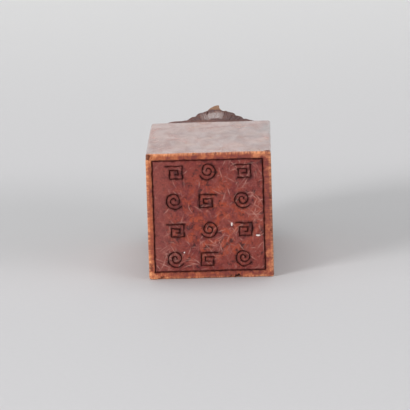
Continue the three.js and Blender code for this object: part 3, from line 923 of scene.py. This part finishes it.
def unit(vector):
    vector = np.asarray(vector, dtype=float)
    return vector / norm(vector)


def seatOn(form, azimuth, elevation, sink=0.0):
    # a point of a form's surface and the way out of it; azimuth 0 is the lion's front
    centre, radii = (np.array(v, dtype=float) for v in form)
    turn, tilt = math.radians(azimuth), math.radians(elevation)
    ray = np.array((math.sin(turn) * math.cos(tilt), math.cos(turn) * math.cos(tilt), math.sin(tilt)))
    outward = unit(ray / radii)
    return centre + ray * radii - outward * sink, outward


def acrossForm(form, places, sink=0.0):
    # points on a form at these azimuths and elevations
    return [seatOn(form, azimuth, elevation, sink)[0] for azimuth, elevation in places]


def toSide(side, stations):
    # the same stations on the left, -1, or on the right, 1
    return [(side * x, *rest) for x, *rest in stations]


def turned(outward):
    return Vector(outward).to_track_quat("Z", "Y").to_euler()


def ball(centre, radii, outward=(0, 0, 1), fine=4):
    piece = added(
        bpy.ops.mesh.primitive_ico_sphere_add, centre, turned(outward), subdivisions=fine, radius=mm)
    piece.scale = radii
    return piece


def limb(start, end, startRadius, endRadius):
    # a tapered limb with round ends
    start, end = np.array(start, dtype=float), np.array(end, dtype=float)
    cone = added(
        bpy.ops.mesh.primitive_cone_add, (start + end) / 2, turned(end - start), vertices=40,
        radius1=startRadius * mm, radius2=endRadius * mm, depth=float(norm(end - start)) * mm,
    )
    return [cone, ball(start, [startRadius] * 3), ball(end, [endRadius] * 3)]


def ring(centre, outward, radius, thick):
    return added(
        bpy.ops.mesh.primitive_torus_add, centre, turned(outward), major_segments=40, minor_segments=12,
        major_radius=radius * mm, minor_radius=thick * mm,
    )


def along(stations, count=28):
    # a smooth run through stations of any numbers
    stations = np.array(stations, dtype=float)
    padded = np.vstack([2 * stations[0] - stations[1], stations, 2 * stations[-1] - stations[-2]])
    place = np.linspace(0, len(stations) - 1, count)
    i = np.minimum(place.astype(int), len(stations) - 2)
    t = (place - i)[:, None]
    a, b, c, d = (padded[i + k] for k in range(4))
    curved = (2 * a - 5 * b + 4 * c - d) * t ** 2 + (3 * b - a - 3 * c + d) * t ** 3
    return 0.5 * (2 * b + (c - a) * t + curved)


def lock(stations, thinWay, flatAt=None):
    # a flame-shaped lock; each station is x, y, z, half width and half thickness
    run = along(stations)
    run[:, 3:] = np.maximum(run[:, 3:], 0.05)
    piece = tube("lock", run[:, :3], run[:, 3], 5)
    points = pointsOf(piece)
    nearest = norm(points[:, None] - run[None, :, :3], axis=2).argmin(axis=1)
    thin = unit(thinWay)
    off = (points - run[nearest, :3]) @ thin
    points += np.outer(off * (run[nearest, 4] / run[nearest, 3] - 1), thin)
    if flatAt is not None:
        points[:, 1] = np.maximum(points[:, 1], flatAt)
    movePoints(piece, points)
    return piece


def carveOut(pieces, name, cell, rounds=3):
    # the joined forms become one skin, as cut from one stone
    piece = joinAll(pieces, name)
    cell = cell * 1
    finishWith(piece, "REMESH", mode="VOXEL", voxel_size=cell * mm)
    finishWith(piece, "SMOOTH", factor=0.5, iterations=rounds)
    return piece


def spiralDepth(points, normals, curls):
    # a snail's turns on each curl, every second one the other way, and a channel round its foot
    depth = np.zeros(len(points))
    for number, (centre, outward, radius) in enumerate(curls):
        off = points - centre
        rise = off @ outward
        near = np.flatnonzero((norm(off, axis=1) < radius * 1.5) & (rise > -0.5 * radius))
        off, rise = off[near], rise[near]
        across = unit(np.cross(outward, (0.3, 0.2, 1.0)))
        u, v = off @ across, off @ np.cross(outward, across)
        r, turn = np.hypot(u, v), np.arctan2(v, u) * (1 if number % 2 else -1)
        phase = (r / (radius * 0.36) - turn / (2 * math.pi)) % 1
        inside = ramp(-r, -radius * 0.98, -radius * 0.86) * ramp(r, 0.1 * radius, 0.3 * radius)
        inside = inside * ramp(rise, -0.12 * radius, 0.1 * radius)
        channel = np.exp(-((r - radius * 1.02) / (0.1 * radius)) ** 2)
        facing = ramp(normals[near] @ outward, 0.0, 0.5) * ramp(rise, -0.45 * radius, -0.2 * radius)
        cut = ramp(np.abs(phase - 0.5), 0.2, 0.5) * inside + 0.9 * channel
        depth[near] = np.maximum(depth[near], lion["curlDepth"] * cut * facing)
    return depth


def laid(path, points):
    # the path on the skin next to it
    path = along(path, min(2 * len(path), 24))
    near = points[within(points, path.min(axis=0) - 2, path.max(axis=0) + 2)]
    path = np.array([near[norm(near - place, axis=1).argmin()] for place in path])
    path[1:-1] = (path[:-2] + path[1:-1] + path[2:]) / 3
    return path


def grooveDepth(points, grooves):
    # round-bottomed grooves; each is its path, half width and depth
    total = np.zeros(len(points))
    for path, half, deep in grooves:
        path = laid(path, points)
        near = within(points, path.min(axis=0) - 2 * half, path.max(axis=0) + 2 * half)
        stretches = zip(path[:-1], path[1:])
        least = np.min([toStretch(points[near], start, end)[1] for start, end in stretches], axis=0)
        total[near] = np.maximum(total[near], deep * (1 - ramp(least, 0, half)))
    return total


class Carving:
    # the forms of one carved piece, and the curls and grooves that are cut into its skin
    def __init__(self, *forms):
        self.forms = [ball(*form, fine=5) for form in forms]
        self.curls = []
        self.grooves = []

    def curl(self, form, azimuth, elevation, radius, height, lift=0):
        at, outward = seatOn(form, azimuth, elevation)
        self.forms.append(ball(at + outward * lift, (radius, radius, height), outward))
        self.curls.append((at, outward, radius))

    def groove(self, path, half, deep, count=0):
        # a path of few points is drawn smooth first where a count is given
        self.grooves.append((along(path, count) if count else path, half, deep))

    def paw(self, x, y, halfWidth, halfLength, height=1.7):
        self.forms.append(ball((x, y, height * 0.9), (halfWidth, halfLength, height)))
        for place in (-1, 0, 1):
            forward = halfLength * (0.92 - 0.16 * place ** 2)
            toe = np.array((x + place * halfWidth * 0.68, y + forward, height * 0.62))
            self.forms.append(ball(toe, (halfWidth * 0.4, halfWidth * 0.44, height * 0.68)))
            self.forms.append(ball(toe + (0, halfWidth * 0.36, -0.5), (0.3, 0.5, 0.4), (0, 0.5, 1), fine=3))
        for place in (-0.5, 0.5):
            across = x + place * halfWidth * 0.75
            steps = ((0.25, 1.9), (0.6, 1.65), (0.95, 1.1), (1.15, 0.3))
            self.groove([(across, y + halfLength * f, height * h) for f, h in steps], 0.32, 0.3)

    def finish(self, piece, dirt=1.0):
        # the cuts go in, and the piece goes to its place on the seal
        points, normals = pointsOf(piece), normalsOf(piece)
        depth = np.maximum(spiralDepth(points, normals, self.curls), grooveDepth(points, self.grooves))
        depth += 0.02 * (1 + ripple(points, 1.3, 3)) + 0.03 * uneven(points, 4, 4)
        low, high = (np.array(c) / mm for c in cadBox)
        movePoints(piece, np.clip(inBlock(points - normals * depth[:, None]), low, high))
        writeOn(piece, "hollow", dirt * np.clip(hollows(piece) * 6 + depth * 1.6, -1, 1))
        return handOver(piece, "lion_knob", 55)


body = {
    "cell": 0.173,  # of the carved surface, in mm
    "torso": ((0, -3.4, 7), (6.2, 6.8, 7.2)),
    "chest": ((0, 2.4, 8), (5.4, 4.6, 5.8)),
    "haunch": ((6, -4.6, 4.8), (4.2, 5.4, 4.8)),
    "frontLeg": ((4.4, 2.6, 9), (4.6, 7, 2.6)), "legRadii": (2.8, 1.9),
    "paws": ((4.7, 7.9, 2.6, 2.9), (7.9, 1.4, 2.3, 3.8)),  # x, y, half width and half length
    "elbow": (
        (5.3, 4.2, 4.3, 0.4, 0.3), (6.2, 3.4, 5.6, 1.4, 1), (7.4, 1.6, 7.6, 1.5, 0.9),
        (7.9, -0.4, 10.2, 0.7, 0.5), (7.9, -0.9, 11.6, 0.1, 0.1)),
    "fold": ((30, -20), (42, 5), (58, 26), (80, 44)),  # azimuths and elevations on the haunch
    "rows": (  # the form, the elevation, the first azimuth and the count of each row of curls
        (lion["skull"], 62, 50, 4), (lion["mane"], 40, 78, 6), (lion["mane"], 8, 62, 7),
        (lion["mane"], -26, 54, 7)),
    "crownCurls": ((-125, 66, 1.6), (125, 66, 1.6), (180, 69, 1.35)),  # azimuth, elevation and radius
}


def buildBody():
    carving = Carving(body["torso"], body["chest"], lion["mane"])
    for side in (-1, 1):
        haunch = (*toSide(side, body["haunch"][:1]), body["haunch"][1])
        carving.forms.append(ball(*haunch, fine=5))
        carving.curl(haunch, side * 100, 8, 2.3, 1.0)
        carving.forms += limb(*toSide(side, body["frontLeg"]), *body["legRadii"])
        for place in toSide(side, body["paws"]):
            carving.paw(*place)
        elbow = toSide(side, body["elbow"])
        carving.forms.append(lock(elbow, (1, 0, 0)))
        for shift in (-0.55, 0, 0.55):
            strand = [(x + side * 0.8, y + shift * w, z + shift * w * 0.6) for x, y, z, w, _ in elbow[1:4]]
            carving.groove(strand, 0.3, lion["hairDepth"], 8)
        for lift in (0, 9):
            fold = [(side * azimuth, elevation + lift) for azimuth, elevation in body["fold"]]
            carving.groove(acrossForm(haunch, fold), 0.35, 0.22, 10)
        for lift in range(4):  # tufts of hair down the back of the front leg
            tuft = [(4.6, 3.9 - lift * 0.1 + k * 0.45, 3.4 + lift * 1.25 + k * 0.3) for k in range(3)]
            carving.groove(toSide(side, tuft), 0.3, 0.15)
    for shape, elevation, first, count in body["rows"]:
        for i in range(count):
            carving.curl(shape, first + (360 - 2 * first) * i / (count - 1), elevation, 2.0, 1.25, 0.1)
    # lower curls fill the crown between the rows
    for azimuth, elevation, radius in body["crownCurls"]:
        carving.curl(lion["mane"], azimuth, elevation, radius, 0.9)
    carving.groove(lion["parting"], 0.4, 0.25)
    for elevation in (-18, -31, -44):
        crease = [(azimuth, elevation) for azimuth in (-34, -17, 0, 17, 34)]
        carving.groove(acrossForm(body["chest"], crease), 0.4, 0.18, 10)
    return carving.finish(carveOut(carving.forms, "lionBody", body["cell"]))


head = {
    "cell": 0.14,
    "middle": {
        "muzzle": ((0, 6.2, 13.8), (4, 3, 1.9)), "jaw": ((0, 5.5, 10.6), (3.3, 2.9, 1.2)),
        "forehead": ((0, 5.4, 19.3), (1.9, 1.6, 1.5)), "bridge": ((0, 6.4, 16.5), (1.5, 2.2, 1.4)),
        "nose": ((0, 8.7, 15.3), (2, 1.3, 1.1)), "tongue": ((0, 6.3, 11.6), (1.7, 2.4, 0.55)),
    },
    "pairs": {
        "lip": ((2.2, 7.9, 13.1), (2, 1.7, 1.35)), "cheek": ((4.5, 4.8, 13), (1.8, 2, 2.3)),
        "nostril": ((1.45, 8.8, 15), (0.85, 0.9, 0.75)),
    },
    "chin": ((0, 5.5, 10.6), (3.7, 3.2, 1.9)),
    "chinCurls": ((0, -25, 1.4), (62, -8, 1.5), (-62, -8, 1.5)),  # azimuth, elevation and radius
    "eye": (33, 15, 1.35), "lid": 0.3,  # the same of the eye, and how thick its lid is
    "ear": ((4.2, 1.6, 18.2, 1.5, 0.9), (6.2, 0.9, 18.9, 1.9, 0.8), (8, -0.4, 19.6, 1.1, 0.6),
            (9.2, -1.4, 20.4, 0.1, 0.1)),
    "fang": ((2.5, 8.3, 12.4), (2.4, 8.4, 10.9)), "fangRadii": (0.5, 0.18),
    "pupil": (0.6, 0.4), "nostrilAt": (1.3, 9.75, 14.8), "nostrilDent": (0.42, 0.4),  # radius and depth
    "cheekFold": ((2.0, 8.4, 14.9), (3.4, 7.4, 14.9), (4.6, 6.3, 14.2)),
    "lipCleft": ((0, 9.6, 14.3), (0, 9.5, 13.6), (0, 9.2, 12.8)),
    "tongueLine": ((0, 4.6, 12.2), (0, 6.5, 12.2), (0, 8.4, 11.9)),
    "frown": ((-1.4, 6.9, 18.3), (0, 7.3, 18.0), (1.4, 6.9, 18.3)),
}


def headSide(carving, side):
    # one eye with its brow, ear, cheek and fang; the dents of its pupil and nostril are given back
    skull = lion["skull"]
    azimuth, elevation, radius = head["eye"]
    eye, gaze = seatOn(skull, side * azimuth, elevation, 0.3)
    carving.forms += [ball(eye, [radius] * 3, gaze), ring(eye + gaze * 0.45, gaze, radius, head["lid"])]
    inner, outer = acrossForm(skull, ((side * 14, 36), (side * 62, 34)), 0.1)
    carving.forms += limb(inner, outer, 1.0, 0.8)
    carving.curl(skull, side * 66, 26, 1.35, 0.95)
    for lift in (-0.35, 0.1, 0.5):
        arch = acrossForm(skull, [(side * a, 36 - a * 0.03) for a in (12, 28, 44, 58)], -0.75)
        carving.groove(np.array(arch) + (0, 0, lift), 0.24, 0.15, 10)
    ear = toSide(side, head["ear"])
    carving.forms.append(lock(ear, (-side * 0.25, 0.45, -0.8)))
    hollow = along([(x, y + 0.5, z - 0.4) for x, y, z, *_ in ear[:3]], 8)
    carving.groove(hollow[1:], 0.85, 0.55)
    for centre, radii in head["pairs"].values():
        carving.forms.append(ball(*toSide(side, [centre]), radii))
    carving.forms += limb(*toSide(side, head["fang"]), *head["fangRadii"])
    for reach in range(3):
        x, y = 1.5 + 0.55 * reach, 9.35 - 0.4 * reach
        whisker = [(x + 0.35 * k, y - 0.25 * k, 13.6 - 0.12 * k) for k in range(4)]
        carving.groove(toSide(side, whisker), 0.16, 0.12)
    carving.groove(toSide(side, head["cheekFold"]), 0.3, 0.25, 8)
    nostril = np.array(toSide(side, [head["nostrilAt"]])[0])
    return [(eye + gaze * radius, *head["pupil"]), (nostril, *head["nostrilDent"])]


def buildHead():
    carving = Carving(lion["skull"])
    carving.forms += [ball(*form) for form in head["middle"].values()]
    for azimuth, elevation, radius in head["chinCurls"]:
        carving.curl(head["chin"], azimuth, elevation, radius, 1.0)
    for i in range(5):  # two rows of teeth
        x = (i - 2) * 0.85
        carving.forms.append(ball((x, 8.5 - 0.12 * x ** 2, 12.0), (0.4, 0.35, 0.5), fine=3))
        carving.forms.append(ball((x * 0.9, 7.7 - 0.1 * x ** 2, 11.6), (0.36, 0.3, 0.42), fine=3))
    dents = headSide(carving, -1) + headSide(carving, 1)
    carving.groove(head["lipCleft"], 0.2, 0.2, 6)
    carving.groove(head["tongueLine"], 0.2, 0.14, 6)
    carving.groove(lion["parting"], 0.4, 0.25)
    for lift in (0, 0.7, 1.3):
        frown = [(x, y - lift * 0.5, z + lift) for x, y, z in head["frown"]]
        carving.groove(frown, 0.24, 0.14, 8)
    piece = carveOut(carving.forms, "lionHead", head["cell"])
    points, normals = pointsOf(piece), normalsOf(piece)
    sunk = np.zeros(len(points))
    for at, radius, deep in dents:
        sunk = np.maximum(sunk, deep * (1 - ramp(norm(points - at, axis=1), 0, radius)))
    movePoints(piece, points - normals * sunk[:, None])
    return carving.finish(piece)


flames = {
    "cell": 0.13, "back": 12.45, "lean": 0.9,
    "press": 0.2,  # how far the outer skin is pushed in, and twice that at the flanks
    "mound": {"deep": 2.4, "behind": 0.6, "sunk": 0.25, "run": (  # x, z, half width, share of the depth
        (0.1, -0.6, 7.6, 1), (0.1, 1, 7.4, 1), (0.1, 3.4, 6.6, 1), (0, 6.5, 5.8, 1), (0, 9.6, 4.9, 1),
        (0, 12.5, 4.2, 1), (0, 15, 3.2, 1), (0, 18.5, 1.5, 0.8))},
    "tall": {"deep": 2.0, "behind": 0.3, "sunk": 0.06, "run": (
        (0, -0.6, 1.5, 1), (0, 3, 1.6, 1), (0, 7, 1.9, 1), (0, 11, 2.2, 1), (-0.1, 14, 2.3, 1),
        (-0.3, 17, 2.1, 0.9), (-0.3, 20, 1.5, 0.85), (0.35, 23.05, 0.3, 0.28))},
    "lower": {"deep": 1.6, "behind": 0.35, "sunk": 0.17},
    "lowerAt": (  # root, belly, x and z of the tip, half width
        (2.4, 3.1, 1.9, 16.8, 1.5), (4.4, 4.6, 3.6, 10.0, 1.5), (6.4, 6.2, 5.4, 5.4, 1.3)),
    "strands": (  # of the mound, the tall flame and the lower ones: place across, half width and depth
        ((-0.9, 0.2, 0.1), (0.9, 0.2, 0.1)),
        ((-1, 0.28, 0.14), (-0.5, 0.22, 0.07), (0, 0.22, 0.07), (0.5, 0.22, 0.07), (1, 0.28, 0.16)),
        ((-1, 0.26, 0.15), (-0.35, 0.2, 0.1), (0.35, 0.2, 0.1), (1, 0.26, 0.15))),
}


def flameRuns():
    # the stations of every flame, and where its back is flat
    specs = [flames["mound"], flames["tall"]]
    for side in (-1, 1):
        for root, belly, tipX, tipZ, width in flames["lowerAt"]:
            run = (
                (root, -0.6, width * 0.8, 1), (belly, tipZ * 0.4, width, 1),
                (belly, tipZ * 0.72, width * 0.8, 0.9), (tipX, tipZ, 0.2, 0.5))
            specs.append({**flames["lower"], "run": toSide(side, run)})
    for spec in specs:
        lean, level, deep = flames["lean"], -flames["back"] - spec["behind"], spec["deep"]
        stations = [(lean + x, level + deep * thin, z, w, deep * thin) for x, z, w, thin in spec["run"]]
        yield stations, spec["sunk"] - flames["back"]


def buildTail():
    carving = Carving()
    runs = []
    for stations, flatAt in flameRuns():
        carving.forms.append(lock(stations, (0, 1, 0), flatAt))
        runs.append(along(stations, 24))
    piece = carveOut(carving.forms, "flameTail", flames["cell"])
    points = pointsOf(piece)
    outer = ramp(-points[:, 1], 10.6, 12.0) * (1 - ramp(points[:, 2], 16, 20))
    flank = ramp(np.abs(points[:, 0] - flames["lean"]), 4, 8)
    points[:, 1] += outer * flames["press"] * (1 + flank)
    movePoints(piece, points)
    # the edge of each flame, and strands that wave along it
    skin = points[normalsOf(piece)[:, 1] < -0.25]
    for number, run in enumerate(runs):
        for share, half, deep in flames["strands"][min(number, 2)]:
            sway = 0.1 * np.sin(run[:, 2] * 0.7 + share * 5) * (abs(share) < 0.9)
            path = np.stack([run[:, 0] + (share + sway) * run[:, 3], run[:, 1], run[:, 2]], axis=1)[2:-2]
            for place in path:
                place[1] = skin[np.hypot(skin[:, 0] - place[0], skin[:, 2] - place[2]).argmin(), 1]
            carving.groove(path, half, deep)
    return carving.finish(piece, 0.4)


plinth = {
    "cell": 0.2, "size": (24.7, 3.6, 25.1), "middle": 10.1,
    "corner": 5, "bevel": 0.6,
    "tenonRadius": 3, "tenonLong": 8, "tenonMiddle": 6.3,
    "lines": {"apart": 0.75, "half": 0.14, "deep": 0.16},  # two round its edge, above and below its middle
}


def buildPlinth():
    middle = (0, plinth["middle"], shaft["halfDepth"])
    piece = added(bpy.ops.mesh.primitive_cube_add, middle, size=mm, scale=plinth["size"])
    settle(piece, "knobPlinth")
    # first the four corners are rounded, and then the edges of both faces
    for offset, segments, upright in ((plinth["corner"], 12, True), (plinth["bevel"], 4, False)):
        ends = pointsOf(piece)[edgesOf(piece)]
        selectEdges(piece, (np.abs(ends[:, 0, 1] - ends[:, 1, 1]) > 1) == upright)
        bpy.ops.mesh.bevel(offset=offset * mm, segments=segments, affect="EDGES")
        enter("OBJECT")
    tenon = added(
        bpy.ops.mesh.primitive_cylinder_add, (0, plinth["tenonMiddle"], shaft["halfDepth"]), lying,
        vertices=64, radius=plinth["tenonRadius"] * mm, depth=plinth["tenonLong"] * mm,
    )
    piece = carveOut([piece, tenon], "knobPlinth", plinth["cell"], 4)
    points, lines = pointsOf(piece), plinth["lines"]
    fromLine = np.abs(np.abs(points[:, 1] - plinth["middle"]) - lines["apart"])
    depth = lines["deep"] * np.exp(-(fromLine / lines["half"]) ** 2)
    depth += 0.015 * uneven(points, 5, 61) + 0.004 * uneven(points, 1.2, 62)
    movePoints(piece, points - normalsOf(piece) * depth[:, None])
    writeOn(piece, "hollow", np.clip(hollows(piece) * 6, -1, 1))
    return handOver(piece, "lion_knob", 50)


# Stone of the knob: browner, with dirt in the hollows and a rub of wax on what stands out

knobColours = {
    "brown": (116, 70, 58), "plum": (90, 48, 46), "rose": (158, 108, 95), "tan": (178, 130, 92),
    # root is the colour of painted shade at the foot of the tail
    "root": (66, 36, 30), "dirt": (40, 24, 20), "rubbed": (178, 140, 124), "vein": (74, 44, 42),
    "tipBrown": (158, 112, 76), "liver": (80, 35, 28),
}


def knobStone():
    stone = Sheet("carvedSoapstone", knobColours)
    x, y, z = stone.axes()
    clouds = stone.noise(4.5, 4, 0.6, shift=(2, 5, 1))
    mottle = stone.noise(1.3, 5, 0.68, warp=0.5, shift=(3, 1, 7))
    grain = stone.noise(0.3, 3, 0.65)
    hollow = stone.painted("hollow")
    veins = abs(stone.noise(6, 4, 0.55, warp=1.2, shift=(9, 2, 5)) - 0.5)
    paler = (y + (clouds - 0.5) * 22 + (mottle - 0.5) * 6).between(26, 32)
    onBack = z.between(21, 24)
    # painted shade: the foot of the tail's back, just behind the shaft's rear edge, is painted dark as the
    # shade under the flames
    root = (1 - (y + (mottle - 0.5) * 5).between(13.2, 15.2)) * y.between(11.6, 11.9) * onBack
    # painted highlight: a pale rose patch in the middle of the tail's back, which is also given less
    # roughness and more wax there
    glossAndPaintedHighlight = (1 - abs(x - 0.4).between(1.0, 3.2)) * y.between(15, 17) * (1 - y.between(22, 27)) * onBack
    shaded = x.between(1.6, 3.6) * (1 - x.between(6.5, 8.5)) * onBack
    tip = (y + (clouds - 0.5) * 5 + (mottle - 0.5) * 4).between(26.6, 30.2) * onBack
    rubbed = (0 - hollow).between(0.1, 0.6) * (0.35 + 0.5 * mottle)
    colour = stone.paint(
        stone.look["plum"],
        (clouds.between(0.4, 0.6), "brown"),
        (mottle.between(0.5, 0.68) * 0.6, "rose"),
        ((1 - veins.between(0.004, 0.02)) * 0.6, "vein"),
        (paler.over(y.between(30.5, 32)) * 0.9, "tan"),
        (shaded * 0.6, "liver"),
        (glossAndPaintedHighlight * 0.5, "rose"),
        (tip * 0.95, "tipBrown"),
        (root * 0.85, "root"),
        (hollow.between(0.08, 0.6) * 0.8, "dirt"),
        (rubbed.clamped(), "rubbed"),
    )
    rough = 0.28 + onBack * 0.3 - glossAndPaintedHighlight * 0.3 + hollow.between(0.0, 0.5) * 0.3 + (mottle - 0.5) * 0.15
    coat = 0.55 - onBack * 0.55 + glossAndPaintedHighlight * 0.42 - hollow.between(0.0, 0.4) * 0.5
    relief = ((mottle - 0.5) * 0.5 + (grain - 0.5) * 0.3) * (1 - glossAndPaintedHighlight * 0.9)
    return finishStone(stone, colour, grain, 0.35, rough, coat, 0.14, relief, 0.04)


# Dried ink in the cuts and the mastic under the knob: dark, with dust in patches

cakedLook = {
    "driedInk": {"dark": (72, 25, 22), "dust": (104, 52, 45), "swell": 0.8, "rough": 0.6},
    "darkMastic": {"dark": (40, 27, 24), "dust": (76, 52, 44), "swell": 1.6, "rough": 0.8},
}


def caked(name):
    look = cakedLook[name]
    sheet = Sheet(name)
    patches = sheet.noise(look["swell"], 5, 0.65, warp=0.4)
    crumbs = sheet.noise(look["swell"] * 0.2, 4, 0.7)
    dusty = (patches + (crumbs - 0.5) * 0.5).between(0.48, 0.74)
    return sheet.finish({
        "Base Color": sheet.mix(dusty, tint(*look["dark"]), tint(*look["dust"])),
        "Roughness": look["rough"] + (patches - 0.5) * 0.4, "Specular IOR Level": 0.3,
        "Normal": sheet.bump(patches + crumbs * 0.6, look["swell"] * 0.06),
    })

# The scene

addCamera()
addFloor()
addLights()
print("camera, paper and lamps in place")

cuts = cutLines()
shaftPiece = buildShaft(cuts)
print("shaft engraved")
inkPieces = [inkBead(name, cut) for name, cut in cuts.items()]
print("ink laid in the cuts")

knobPieces = [buildPlinth(), buildBody(), buildHead(), buildTail()]
print("knob carved")

soapstone().dress(shaftPiece)
knobStone().dress(*knobPieces)
caked("darkMastic").dress(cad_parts["mastic_bed"])
caked("driedInk").dress(*inkPieces)
